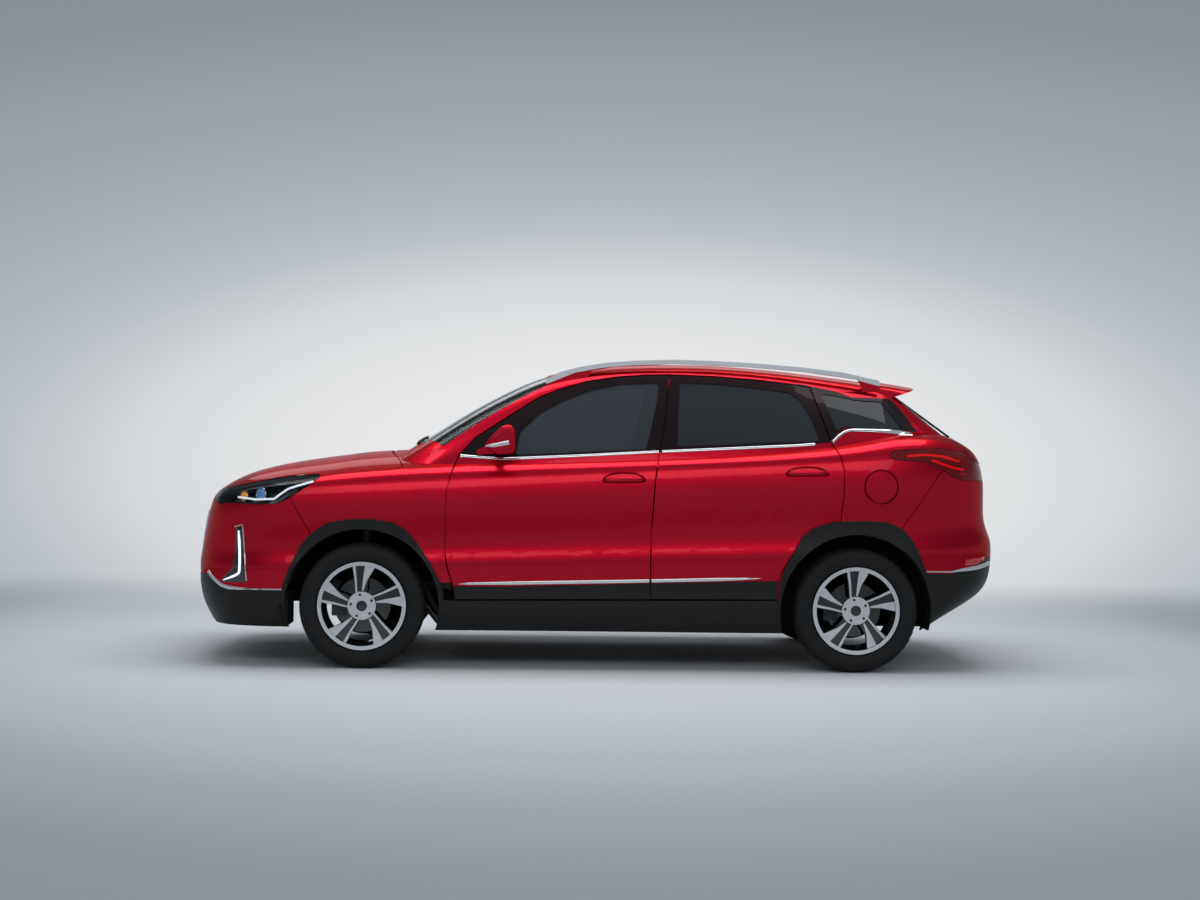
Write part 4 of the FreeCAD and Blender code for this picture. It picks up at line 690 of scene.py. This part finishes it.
for end, side, sign in CORNERS:
    also(f"{end}_{side}_wheel", machined, machined_face)
    also(f"{end}_{side}_door", trim_dark, lambda centre, normal: normal.y * sign < -INWARDS)
also("body_shell", trim_dark, faces_inwards)
also("roof", headliner, lambda centre, normal: normal.z < -INWARDS)
also("hood", soft_black, lambda centre, normal: normal.z < -0.6)
also("tailgate", soft_black, lambda centre, normal: normal.x < -0.5)

# Tyres and wheels

TREAD_STEPS = 240
BLOCK_STEPS = 5
LAG = 2  # steps by which the blocks of one shoulder lie behind the other's
# Half of a tyre's section: share of the half width, and share of the radius
TYRE_SHARES = [
    (0.80, 0.712), (0.90, 0.735), (0.975, 0.79), (1.0, 0.845), (1.0, 0.875), (0.985, 0.90),
    (0.955, 0.935), (0.90, 0.965), (0.83, 0.984), (0.76, 0.993), (0.66, 0.998), (0.62, 0.998),
    (0.56, 0.999), (0.52, 0.999), (0.515, 0.976), (0.46, 0.976), (0.455, 1.0), (0.30, 1.0),
    (0.215, 1.0), (0.21, 0.976), (0.155, 0.976), (0.15, 1.0), (0.0, 1.0),
]
# How deep the cuts are, by the number of the section's point
SHOULDER_CUTS = {7: 0.004, 8: 0.006, 9: 0.006, 10: 0.005}
RIB_CUTS = {16: 0.003, 17: 0.003}


def tyre(end, side):
    """A tyre with four grooves, shoulder blocks and plain side walls."""
    low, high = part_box(f"{end}_{side}_tyre")
    centre, radius, half = (low + high) / 2, (high.z - low.z) / 2, (high.y - low.y) / 2
    section = [(r * radius, w * half) for w, r in TYRE_SHARES]
    profile = section + [(r, -y) for r, y in reversed(section[:-1])]
    last = len(profile) - 1

    def depth(step, place):
        near = min(place, last - place)
        phase = (step + (LAG if place > last / 2 else 0)) % BLOCK_STEPS
        if phase == 0:
            return SHOULDER_CUTS.get(near, 0.0)
        return RIB_CUTS.get(near, 0.0) if phase == 2 and step % 2 else 0.0

    body = f"{end}_{side}_wheel_body"
    made = lathe(
        f"{end}_{side}_tyre_tread", body, centre, profile, TREAD_STEPS, rubber, "tyre_rubber", depth
    )
    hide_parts(f"{end}_{side}_tyre")


LUGS, LUG_CIRCLE, LUG_ACROSS, LUG_TURN = 5, 0.0572, 0.0098, 28.0
LUG_SEAT, LUG_TALL = 0.835, 0.020  # |Y| of the seat, and the nut's height
CAP_PROBE, CAP_TURN = 0.012, math.radians(10)  # where the height of the cap's seat is measured
CAP_SINK = 0.001
CAP = [(AXIS, 0.004), (0.020, 0.0035), (0.024, 0.0), (0.0275, 0.0005), (0.0290, -0.006), (AXIS, -0.006)]


def hub_of(end, side, y):
    """A wheel's middle at this Y."""
    low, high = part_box(f"{end}_{side}_wheel")
    return Vector(((low.x + high.x) / 2, y, (low.z + high.z) / 2))


def hexagon(centre, radius):
    turns = [math.radians(60 * k) for k in range(6)]
    return [(centre.x + radius * math.cos(turn), centre.z + radius * math.sin(turn)) for turn in turns]


def wheel_details(end, side, sign):
    """Five lug nuts and a bare centre cap."""
    name = f"{end}_{side}"
    body = f"{name}_wheel_body"
    centre = hub_of(end, side, 0)
    for number in range(LUGS):
        turn = math.radians(LUG_TURN + number * 360 / LUGS)
        spot = centre + Vector((LUG_CIRCLE * math.cos(turn), 0, LUG_CIRCLE * math.sin(turn)))
        seat = sign * LUG_SEAT
        outline = hexagon(spot, LUG_ACROSS)
        block(f"{name}_lug_nut_{number}", body, outline, seat, seat + sign * LUG_TALL, steel, "dark_steel")
    x = centre.x + CAP_PROBE * math.cos(CAP_TURN)
    z = centre.z + CAP_PROBE * math.sin(CAP_TURN)
    hit, _, _, _ = skin(f"{name}_wheel").ray_cast(Vector((x, sign * FAR, z)), Vector((0, -sign, 0)))
    middle = centre + Vector((0, hit.y + sign * CAP_SINK, 0))
    profile = [(r, sign * y) for r, y in CAP]
    lathe(f"{name}_centre_cap", body, middle, profile, 48, gloss_black, "gloss_black")


for end, side, sign in CORNERS:
    tyre(end, side)
    wheel_details(end, side, sign)

# Bright strips along the belt, the sills and the chins

# Width, height over the skin, and material
BELT_STRIP = (0.013, 0.003, chrome)
SILL_STRIP = (0.019, 0.004, chrome)
CHIN_STRIP = (0.016, 0.004, satin_silver)
# Name, body, CAD nodes under it, path, kind and taper
BRIGHT_STRIPS = [
    (
        "left_front_door_belt", "front_left_door_body", ["front_left_door"],
        [(-0.742, 1.105), (-0.640, 1.098), (-0.515, 1.091), (-0.12, 1.113), (0.303, 1.140)],
        BELT_STRIP, EVEN,
    ),
    (
        "left_rear_door_belt", "rear_left_door_body", ["rear_left_door"],
        [(0.312, 1.1405), (0.62, 1.158), (1.031, 1.182), (1.120, 1.190)],
        BELT_STRIP, EVEN,
    ),
    (
        "left_quarter_belt", "body", ["body_shell", "quarter_glass"],
        rounded([(1.204, 1.192), (1.285, 1.268), (1.40, 1.268), (1.521, 1.264), (1.651, 1.252)], 2),
        BELT_STRIP, [(0.0, 0.95), (0.45, 1.1), (0.9, 1.8), (1.0, 1.0)],
    ),
    (
        "left_front_door_sill_strip", "front_left_door_body", ["front_left_door_cladding", "front_left_door"],
        [(-0.738, 0.444), (-0.513, 0.449), (0.0, 0.462), (0.247, 0.469)],
        SILL_STRIP, [(0.0, 0.15), (0.05, 0.7), (0.3, 1.0), (1.0, 1.0)],
    ),
    (
        "left_rear_door_sill_strip", "rear_left_door_body", ["rear_left_door_cladding", "rear_left_door"],
        [(0.259, 0.469), (0.50, 0.477), (0.70, 0.484), (0.83, 0.490)],
        SILL_STRIP, [(0.0, 1.0), (0.6, 1.0), (0.85, 0.7), (1.0, 0.12)],
    ),
    (
        "left_front_chin_strip", "body", ["front_chin", "front_bumper"],
        rounded([(-2.050, 0.484), (-2.020, 0.452), (-1.959, 0.408), (-1.850, 0.402), (-1.62, 0.404)], 1),
        CHIN_STRIP, [(0.0, 1.0), (0.35, 1.2), (0.6, 0.5), (1.0, 0.4)],
    ),
    (
        "left_rear_chin_strip", "body", ["rear_chin", "rear_bumper"],
        [(1.690, 0.533), (1.84, 0.531), (1.90, 0.540), (2.00, 0.552), (2.09, 0.568)],
        CHIN_STRIP, [(0.0, 0.4), (0.4, 0.5), (0.65, 1.4), (1.0, 1.6)],
    ),
]
for name, body, nodes, path, kind, taper in BRIGHT_STRIPS:
    both(strip(name, body, skin(*nodes), path, *kind, taper=taper))

REFLECTOR = [(1.920, 0.594), (2.046, 0.606), (2.036, 0.575), (1.915, 0.562)]
both(patch("left_rear_reflector", "body", skin("rear_bumper"), REFLECTOR, 0.004, reflector_red, "tail_lens"))

# Front: daytime lamps and the frame of the grille

bumper = skin("front_bumper")
BEZEL = [
    (-1.897, 0.712), (-1.862, 0.724), (-1.836, 0.448), (-1.842, 0.436), (-1.975, 0.434), (-1.966, 0.452),
    (-1.905, 0.513), (-1.896, 0.60),
]
DAYTIME_LINE = [(-1.878, 0.703), (-1.872, 0.62), (-1.866, 0.505), (-1.874, 0.478), (-1.955, 0.447)]
DAYTIME_TAPER = [(0.0, 0.5), (0.15, 1.0), (0.85, 1.0), (1.0, 0.4)]
DAYTIME_EDGE = [(-1.902, 0.722), (-1.858, 0.733), (-1.832, 0.446)]
GRILLE_EDGE = [(-0.407, 0.795), (-0.372, 0.656), (-0.318, 0.585)]  # (Y, Z), seen from the front
GRILLE_TAPER = [(0.0, 1.1), (0.6, 0.9), (1.0, 0.25)]
both(patch(
    "left_daytime_lamp_bezel", "body", bumper, BEZEL, 0.003, gloss_black, "gloss_black", round_off=0.006
))
both(strip(
    "left_daytime_lamp", "body", bumper, rounded(DAYTIME_LINE, 2), 0.013, 0.010, lamp_white, "lamp_lens",
    taper=DAYTIME_TAPER,
))
both(strip("left_daytime_lamp_edge", "body", bumper, DAYTIME_EDGE, 0.006, 0.005, chrome))
both(strip(
    "left_grille_frame", "body", bumper, GRILLE_EDGE, 0.026, 0.007, chrome, view="front",
    taper=GRILLE_TAPER,
))

# Lamps

CLEARANCE = 0.002
LENS_WALL, BOWL_WALL = 0.003, -0.001
LAMP_SHARP = 30  # degrees
GUIDE_STEP = 0.012
open_air = skin(*[n for n in CAD if "wheel" not in n and "tyre" not in n])


def split_lamp(node, lens_material, slot):
    """Replaces a CAD lamp by a thin lens where it meets the air and a bowl behind it."""
    whole = bmesh.new()
    whole.from_mesh(CAD[node].data)
    bmesh.ops.remove_doubles(whole, verts=whole.verts, dist=CAD_MERGED)
    outer = set()
    for face in whole.faces:
        start = face.calc_center_median() + face.normal * CLEARANCE
        if open_air.ray_cast(start, face.normal, FAR)[0] is None:
            outer.add(face.index)
    kinds = ((True, LENS_WALL, lens_material, "lens"), (False, BOWL_WALL, gloss_black, "bowl"))
    for keeps_outer, wall, material, label in kinds:
        part = whole.copy()
        part.faces.ensure_lookup_table()
        gone = [f for f in part.faces if (f.index in outer) != keeps_outer]
        bmesh.ops.delete(part, geom=gone, context="FACES")
        bmesh.ops.solidify(part, geom=part.faces[:], thickness=wall)
        mesh = bpy.data.meshes.new(f"{node}_{label}")
        part.to_mesh(mesh)
        part.free()
        made = placed(f"{node}_{label}", mesh)
        mesh.materials.append(material)
        smoothed(mesh, LAMP_SHARP)
        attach(made, "body")
        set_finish(made, slot)
        if keeps_outer:
            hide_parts(node)
    whole.free()


def light_guides(tree, rows):
    """Bars behind a lens: each row holds a name, path, depth, radius, material and slot."""
    for name, path, depth, radius, material, slot in rows:
        line = along_skin(tree, "left", path, GUIDE_STEP, -depth)
        both(tube(name, "body", line, radius, material, slot))


lamp = skin("headlamps")
split_lamp("headlamps", clear_lens, "lamp_lens")
HEAD_GUIDE = [
    (-1.500, 0.976), (-1.560, 0.955), (-1.625, 0.930), (-1.672, 0.895), (-1.700, 0.872), (-1.80, 0.868),
    (-1.90, 0.880),
]
UPPER_GUIDE = [(-1.640, 0.958), (-1.75, 0.945), (-1.85, 0.925), (-1.93, 0.900)]
light_guides(lamp, [
    ("left_headlamp_guide", HEAD_GUIDE, 0.016, 0.0055, lamp_white, "lamp_lens"),
    ("left_headlamp_upper_guide", UPPER_GUIDE, 0.014, 0.0035, satin_silver, "rail_metal"),
])

LOOK_OUT = Vector((-0.62, -0.75, 0.10)).normalized()
RING = [(AXIS, 0.0), (0.036, 0.002), (0.039, 0.010), (0.036, 0.013), (0.031, 0.006), (AXIS, 0.005)]
DOME = [(AXIS, 0.022), (0.010, 0.021), (0.019, 0.017), (0.026, 0.010), (0.029, 0.002), (AXIS, 0.0)]
DOME_DEPTH, DOME_OUT = 0.040, 0.004  # behind the lens, and out of the ring
DOMES = [(-1.775, 0.903, 0.95, projector), (-1.875, 0.897, 0.72, lamp_amber)]  # X, Z, size, glass
for number, (x, z, size, glass) in enumerate(DOMES):
    spot = off_skin(lamp, "left", (x, z), -DOME_DEPTH)
    ring = [(r * size, h * size) for r, h in RING]
    dome = [(r * size, h * size) for r, h in DOME]
    both(turned(f"left_headlamp_ring_{number}", "body", spot, LOOK_OUT, ring, 32, chrome, "rail_metal"))
    spot += LOOK_OUT * DOME_OUT
    both(turned(f"left_headlamp_dome_{number}", "body", spot, LOOK_OUT, dome, 32, glass, "lamp_lens"))

tail_lamp = skin("tail_lamps")
split_lamp("tail_lamps", red_lens, "tail_lens")
TAIL_GUIDE = [(1.60, 1.140), (1.70, 1.148), (1.80, 1.140), (1.88, 1.118), (1.935, 1.112)]
LOWER_GUIDE = [(1.735, 1.118), (1.80, 1.096), (1.86, 1.078), (1.93, 1.068)]
light_guides(tail_lamp, [
    ("left_tail_guide", TAIL_GUIDE, 0.012, 0.006, lamp_red, "tail_lens"),
    ("left_tail_lower_guide", LOWER_GUIDE, 0.012, 0.006, lamp_red, "tail_lens"),
    ("left_tail_amber", [(1.905, 1.046), (1.95, 1.042)], 0.010, 0.007, lamp_amber, "tail_lens"),
])

# Door handles and mirror lamps

# A grip's share of its length, and how deep it is there behind the line over its recess
GRIP = [
    (0.0, 0.016), (0.04, 0.010), (0.12, 0.002), (0.3, -0.003), (0.6, -0.004), (0.85, -0.002), (0.95, 0.008),
    (1.0, 0.016),
]
GRIP_RADIUS, GRIP_FLAT, GRIP_ENDS = 0.0125, 0.62, 0.7


def handle(name, body, tree, x_from, x_to, z_from, z_to, above, below):
    """A body-coloured grip across a recess, with its ends sunk in it."""
    path = []
    for share, depth in GRIP:
        x, z = x_from + (x_to - x_from) * share, z_from + (z_to - z_from) * share
        high, _ = on_skin(tree, "left", (x, z + above))
        low, _ = on_skin(tree, "left", (x, z - below))
        level = above / (above + below)
        path.append(Vector((x, high.y + (low.y - high.y) * level + depth, z)))
    both(tube(
        name, body, rounded(path, 1), GRIP_RADIUS, paint, "body_paint", sides=16, flat=GRIP_FLAT,
        ends=GRIP_ENDS,
    ))


handle(
    "left_front_door_handle", "front_left_door_body", skin("front_left_door"), -0.006, 0.225, 0.990, 0.996,
    0.055, 0.055,
)
handle(
    "left_rear_door_handle", "rear_left_door_body", skin("rear_left_door"), 0.957, 1.184, 1.036, 1.042,
    0.050, 0.055,
)
MIRROR_LINE = [(-0.606, 1.158), (-0.56, 1.163), (-0.487, 1.178)]
both(strip(
    "left_mirror_lamp", "front_left_door_body", skin("left_mirror"), MIRROR_LINE, 0.020, 0.003, satin_silver,
    taper=[(0.0, 0.3), (0.4, 1.0), (1.0, 1.2)],
))

# Roof rails: a bright bar on a body-coloured foot

RAIL_BAR = 0.024  # height of the bright bar
RAIL_STEPS, RAIL_PROBES, PROBE = 12, 8, 0.004


def rail_line():
    """The lower edge of the bright bar, found by rays from above near the left rail's outer edge."""
    low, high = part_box("roof_rails")
    rails = skin("roof_rails")
    line = []
    for number in range(RAIL_STEPS + 1):
        x = low.x + PROBE + (high.x - low.x - 2 * PROBE) * number / RAIL_STEPS
        starts = [Vector((x, low.y + PROBE * i, FAR)) for i in range(1, RAIL_PROBES + 1)]
        tops = [rails.ray_cast(start, -UP)[0] for start in starts]
        line.append((x, max(hit.z if hit else 0.0 for hit in tops) - RAIL_BAR))
    return line


CAD["roof_rails"].data.materials[0] = silver_over("rail_silver_on_red", rail_line())

# Dust shields at the brakes and splash shields in the front wheel wells

DUST_SHIELD = [(AXIS, 0.0), (0.158, 0.0), (0.160, 0.001), (0.158, 0.002), (AXIS, 0.002)]
DUST_SHIELD_OUT = 0.702  # |Y|
SHIELD = [(-1.645, 0.215), (-1.618, 0.215), (-1.618, 0.385), (-1.680, 0.385)]
SHIELD_FROM, SHIELD_TO = -0.850, -0.600  # Y of the outer and inner edge
for end, side, sign in CORNERS:
    hub = hub_of(end, side, sign * DUST_SHIELD_OUT)
    body = f"{side}_knuckle" if end == "front" else "body"
    turned(f"{end}_{side}_dust_shield", body, hub, (0, 1, 0), DUST_SHIELD, 48, liner, "liner_plastic")
both(block("left_splash_shield", "body", SHIELD, SHIELD_FROM, SHIELD_TO, liner, "liner_plastic"))

# Rear plate and wipers

PLATE_WIDTH, PLATE_TALL, PLATE_HEIGHT, PLATE_STEP = 0.44, 0.14, 0.90, 0.03
HOLDER_WIDE, HOLDER_TALL = 1.06, 1.18  # shares of the plate's size


def plate(name, body, tree, view):
    """A bare number plate in a black holder."""
    def outline(wide, tall):
        corners = ((-1, -1), (1, -1), (1, 1), (-1, 1))
        return [(y * PLATE_WIDTH / 2 * wide, PLATE_HEIGHT + z * PLATE_TALL / 2 * tall) for y, z in corners]

    rim = outline(HOLDER_WIDE, HOLDER_TALL)
    patch(f"{name}_holder", body, tree, rim, 0.006, black_plastic, "cladding", view, PLATE_STEP)
    patch(name, body, tree, outline(1, 1), 0.008, white_plate, None, view, PLATE_STEP, round_off=0.001)


plate("rear_plate", "tailgate_body", skin("tailgate"), "rear")

screen = skin("windshield")
ARM_STEP, ARM_LIFT, BLADE_DROP = 0.03, 0.014, 0.008
# Seen from above, as (X, Y)
WIPERS = {
    "left_wiper": [(-0.985, -0.46), (-0.955, -0.20), (-0.945, 0.02)],
    "right_wiper": [(-0.998, 0.10), (-0.970, 0.34), (-0.930, 0.56)],
}
for name, path in WIPERS.items():
    points = along_skin(screen, "top", path, ARM_STEP, ARM_LIFT)
    tube(f"{name}_arm", "body", points, 0.005, soft_black, "cladding", flat=1.4)
    blade = [q - UP * BLADE_DROP for q in points[len(points) // 3:]]
    tube(f"{name}_blade", "body", blade, 0.004, rubber, "tyre_rubber", flat=1.2)

rear_pane = skin("tailgate_glass")
REAR_ARM_LIFT = 0.022
PIVOT = [(AXIS, 0.0), (0.020, 0.0), (0.017, 0.030), (AXIS, 0.034)]
REAR_ARM = [(0.0, 1.20), (-0.10, 1.205), (-0.22, 1.215), (-0.33, 1.222)]  # (Y, Z)
pivot, outwards = on_skin(rear_pane, "rear", REAR_ARM[0])
turned("rear_wiper_pivot", "tailgate_body", pivot, outwards, PIVOT, 24, soft_black, "cladding")
arm = [off_skin(rear_pane, "rear", spot, REAR_ARM_LIFT) for spot in REAR_ARM]
tube("rear_wiper_arm", "tailgate_body", arm, 0.006, soft_black, "cladding", flat=1.3)

# Seats

VOXEL, PRESSURE, FRAMES = 0.014, 4.0, 20
SHRINK, MOST = 0.010, 0.012  # how far a pad is drawn in first, and how far its points may swell
PAD_HEIGHT = 0.30  # solids that reach lower are bases, not pads


def seat_parts():
    """The separate solids of the CAD seats, each as vertices and faces."""
    whole = bmesh.new()
    whole.from_mesh(CAD["seats"].data)
    bmesh.ops.remove_doubles(whole, verts=whole.verts, dist=CAD_MERGED)
    seen, parts = set(), []
    for vertex in whole.verts:
        if vertex in seen:
            continue
        group, heap = [], [vertex]
        seen.add(vertex)
        while heap:
            here = heap.pop()
            group.append(here)
            found = [e.other_vert(here) for e in here.link_edges if e.other_vert(here) not in seen]
            seen.update(found)
            heap += found
        number = {v: i for i, v in enumerate(group)}
        faces = dict.fromkeys(f for v in group for f in v.link_faces)
        parts.append(([v.co.copy() for v in group], [[number[v] for v in f.verts] for f in faces]))
    whole.free()
    return parts


def modified(made, kind, **settings):
    """Adds a modifier with these settings."""
    modifier = made.modifiers.new(kind.lower(), kind)
    for name, value in settings.items():
        setattr(modifier, name, value)
    return modifier


def apply_modifiers(made):
    graph = bpy.context.evaluated_depsgraph_get()
    mesh = bpy.data.meshes.new_from_object(made.evaluated_get(graph), depsgraph=graph)
    made.modifiers.clear()
    old = made.data
    made.data = mesh
    bpy.data.meshes.remove(old)


def swell(made):
    """Blows the covers up like a stuffed cushion, each point by no more than MOST."""
    rest = [v.co.copy() for v in made.data.vertices]
    cloth = modified(made, "CLOTH")
    cloth.settings.use_pressure = True
    cloth.settings.uniform_pressure_force = PRESSURE
    cloth.settings.effector_weights.gravity = 0.0
    cloth.settings.quality = 4
    cloth.point_cache.frame_start = 1
    cloth.point_cache.frame_end = FRAMES
    scene = bpy.context.scene
    for number in range(1, FRAMES + 1):
        scene.frame_set(number)
    apply_modifiers(made)
    scene.frame_set(1)
    for vertex, start in zip(made.data.vertices, rest):
        way = vertex.co - start
        if way.length > MOST:
            vertex.co = start + way.normalized() * MOST


def padded(made):
    """Turns a seat block into a padded cover."""
    modified(made, "REMESH", mode="VOXEL", voxel_size=VOXEL)
    apply_modifiers(made)
    made.data.calc_loop_triangles()
    normals = [v.normal.copy() for v in made.data.vertices]
    for vertex, normal in zip(made.data.vertices, normals):
        vertex.co -= normal * SHRINK
    swell(made)
    modified(made, "SMOOTH", factor=0.5, iterations=4)
    modified(made, "SUBSURF", levels=1, render_levels=1)
    apply_modifiers(made)
    made.data.shade_smooth()
    made.data.materials.clear()
    made.data.materials.append(seat_cloth)


# The pads and their bases, together in place of the CAD seats
for number, (points, faces) in enumerate(seat_parts()):
    if min(p.z for p in points) > PAD_HEIGHT:
        made = piece(f"seat_pad_{number}", "body", points, faces, seat_cloth, "seat_fabric")
        padded(made)
    else:
        made = piece(f"seat_base_{number}", "body", points, faces, steel, "dark_steel")
    if number == 0:
        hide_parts("seats")

# Floor and backdrop

# How bright the floor is painted at each distance in metres, a painted pool of light by the car, the
# backdrop's painted falloff of light at each angle off its middle, and what gloss mirrors at each height of
# the way it looks, as shades of 0 to 255
FLOOR_PAINTED_LIGHT = [
    (0.0, 200), (3.4, 198), (4.2, 194), (5.2, 189), (5.9, 182), (6.6, 171), (7.5, 159), (12.0, 153),
]
BACKDROP_PAINTED_LIGHT = [
    (0.0, 235), (0.15, 231), (0.20, 226), (0.26, 215), (0.32, 194), (0.40, 176), (0.49, 164), (0.62, 146),
    (1.0, 134),
]
MIRROR_SHADES = [
    (0.0, 190), (0.12, 185), (0.25, 125), (0.42, 120), (0.55, 165), (0.80, 165), (1.0, 130),
]
# A shade of DEEP or darker has this much less red than green, and this share of it more blue.
# A shade of WHITE has no tint.
BLUER, BLUE_SHARE, WHITE, DEEP = 7, 0.85, 240, 190


def shade_ramp(tree, value, table):
    """Cool greys that follow a table of (value, shade)."""
    high = table[-1][0]
    ramp = add(tree, "ValToRGB", maths(tree, "DIVIDE", value, high))
    shades = ramp.color_ramp.elements
    colours = []
    for place, shade in table:
        tint = BLUER * min(1.0, (WHITE - shade) / (WHITE - DEEP))
        colours.append((place / high, linear(shade - tint, shade, shade + tint * BLUE_SHARE)))
    shades[0].position, shades[0].color = colours[0]
    shades[1].position, shades[1].color = colours[-1]
    for place, colour in colours[1:-1]:
        shades.new(place).color = colour
    return ramp.outputs["Color"]


FLOOR_REACH, FLOOR_RINGS, FLOOR_SIDES = 60.0, 48, 96
# The painted pool of light in the floor's colour: how it is squeezed on each axis, and its shift after that
PAINTED_POOL = [("MULTIPLY", (1.6, 1.0, 0.0)), ("ADD", (0.0, -2.0, 0.0))]
FADE_BEHIND, FADE_AROUND = (1.5, 6.0), (8.0, 14.0)  # where the floor starts and ends to fade


def floor_material():
    """Painted paler by the car, a painted pool of light in its colour, and clear where the floor meets the
    backdrop.
    """
    material = finish("studio_floor", linear(222, 225, 228), 0.9, grain=3.0, bump=0.0, specular=0.1)
    tree, shader = nodes_of(material)
    place = object_place(tree)
    away = length_of(tree, shifted_and_scaled(tree, place, PAINTED_POOL))
    # the base colour carries the painted pool of light, darker further from the car
    set_inputs(shader, {"Base Color": shade_ramp(tree, away, FLOOR_PAINTED_LIGHT)})
    behind = ranged(tree, axes_of(tree, place)[1], *FADE_BEHIND, "From", "SMOOTHSTEP")
    around = ranged(tree, length_of(tree, place), *FADE_AROUND, "From", "SMOOTHSTEP")
    mix = mixed(tree, shader, add(tree, "BsdfTransparent"), maths(tree, "MAXIMUM", behind, around))
    set_inputs(tree.nodes["Material Output"], {"Surface": mix.outputs[0]})
    return material


def floor():
    """A round floor, with finer rings near the car."""
    vertices = [(0, 0, 0)]
    for i in range(1, FLOOR_RINGS + 1):
        radius = FLOOR_REACH * (i / FLOOR_RINGS) ** 2
        for k in range(FLOOR_SIDES):
            turn = 2 * math.pi * k / FLOOR_SIDES
            vertices.append((radius * math.cos(turn), radius * math.sin(turn), 0))
    faces = [(0, 1 + k, 1 + (k + 1) % FLOOR_SIDES) for k in range(FLOOR_SIDES)]
    for a in range(1, 1 + (FLOOR_RINGS - 1) * FLOOR_SIDES, FLOOR_SIDES):
        b = a + FLOOR_SIDES
        for k in range(FLOOR_SIDES):
            m = (k + 1) % FLOOR_SIDES
            faces.append((a + k, b + k, b + m, a + m))
    mesh = bpy.data.meshes.new("studio_floor")
    mesh.from_pydata(vertices, [], faces)
    made = placed("studio_floor", mesh)
    mesh.materials.append(floor_material())


SKY = [("ADD", (-0.052, 0.0, 0.014)), ("MULTIPLY", (1.0, 0.0, 2.5))]
ROOM_LIGHT, ROOM_STRENGTH = linear(214, 218, 222), 0.55


def studio_world():
    """Its middle is pale for the camera and through glass, a painted pool of light on the backdrop, gloss
    sees bands, and its light is plain grey.
    """
    world = bpy.data.worlds.new("studio")
    bpy.context.scene.world = world
    world.use_nodes = True
    tree = world.node_tree
    tree.nodes.clear()
    way = add(tree, "TexCoord").outputs["Generated"]
    # what the camera sees of the backdrop: painted light, pale in its middle and darker outwards
    painted_backdrop = shade_ramp(tree, length_of(tree, shifted_and_scaled(tree, way, SKY)), BACKDROP_PAINTED_LIGHT)
    bands = shade_ramp(tree, axes_of(tree, way)[2], MIRROR_SHADES)
    shown = add(tree, "Background", Color=painted_backdrop, Strength=1.0)
    mirrored = add(tree, "Background", Color=bands, Strength=1.0)
    lit = add(tree, "Background", Color=ROOM_LIGHT, Strength=ROOM_STRENGTH)
    path = add(tree, "LightPath").outputs
    seen = maths(tree, "MAXIMUM", path["Is Camera Ray"], path["Is Transmission Ray"])
    soft = mixed(tree, lit, mirrored, path["Is Glossy Ray"])
    add(tree, "OutputWorld", Surface=mixed(tree, soft, shown, seen).outputs[0])


floor()
studio_world()

# Lights and camera

# Place, length and width, the point it faces, and its power in watts
SOFTBOXES = {
    "overhead": ((0.0, 0.0, 5.5), (7.0, 3.5), (0, 0, 0), 300.0),
    "left_soft": ((0.0, -9.0, 5.0), (9.0, 2.5), (0, 0, 0.8), 160.0),
    "right_soft": ((0.0, 9.0, 5.0), (9.0, 2.5), (0, 0, 0.8), 110.0),
}
for name, (place, size, target, power) in SOFTBOXES.items():
    light = bpy.data.lights.new(name, "AREA")
    light.shape = "RECTANGLE"
    light.size, light.size_y = size
    light.energy = power
    made = placed(name, light)
    made.location = place
    made.rotation_euler = (Vector(target) - Vector(place)).to_track_quat("-Z", "Y").to_euler()

CAMERA_PLACE = (-0.405, -10.461, 1.172)
CAMERA_TURN = (90.0 - 0.16, 0.79, -2.319)  # degrees: up or down, roll and heading
LENS, SENSOR = 55.5, 36.0
camera_data = bpy.data.cameras.new("camera")
camera_data.lens = LENS
camera_data.sensor_width = SENSOR
camera = placed("camera", camera_data)
camera.location = CAMERA_PLACE
pitch, roll, heading = (math.radians(angle) for angle in CAMERA_TURN)
turns = [Euler(angles).to_matrix() for angles in ((0, 0, heading), (pitch, 0, 0), (0, 0, roll))]
camera.rotation_euler = (turns[0] @ turns[1] @ turns[2]).to_euler()
bpy.context.scene.camera = camera
bpy.context.scene.view_settings.view_transform = "Standard"
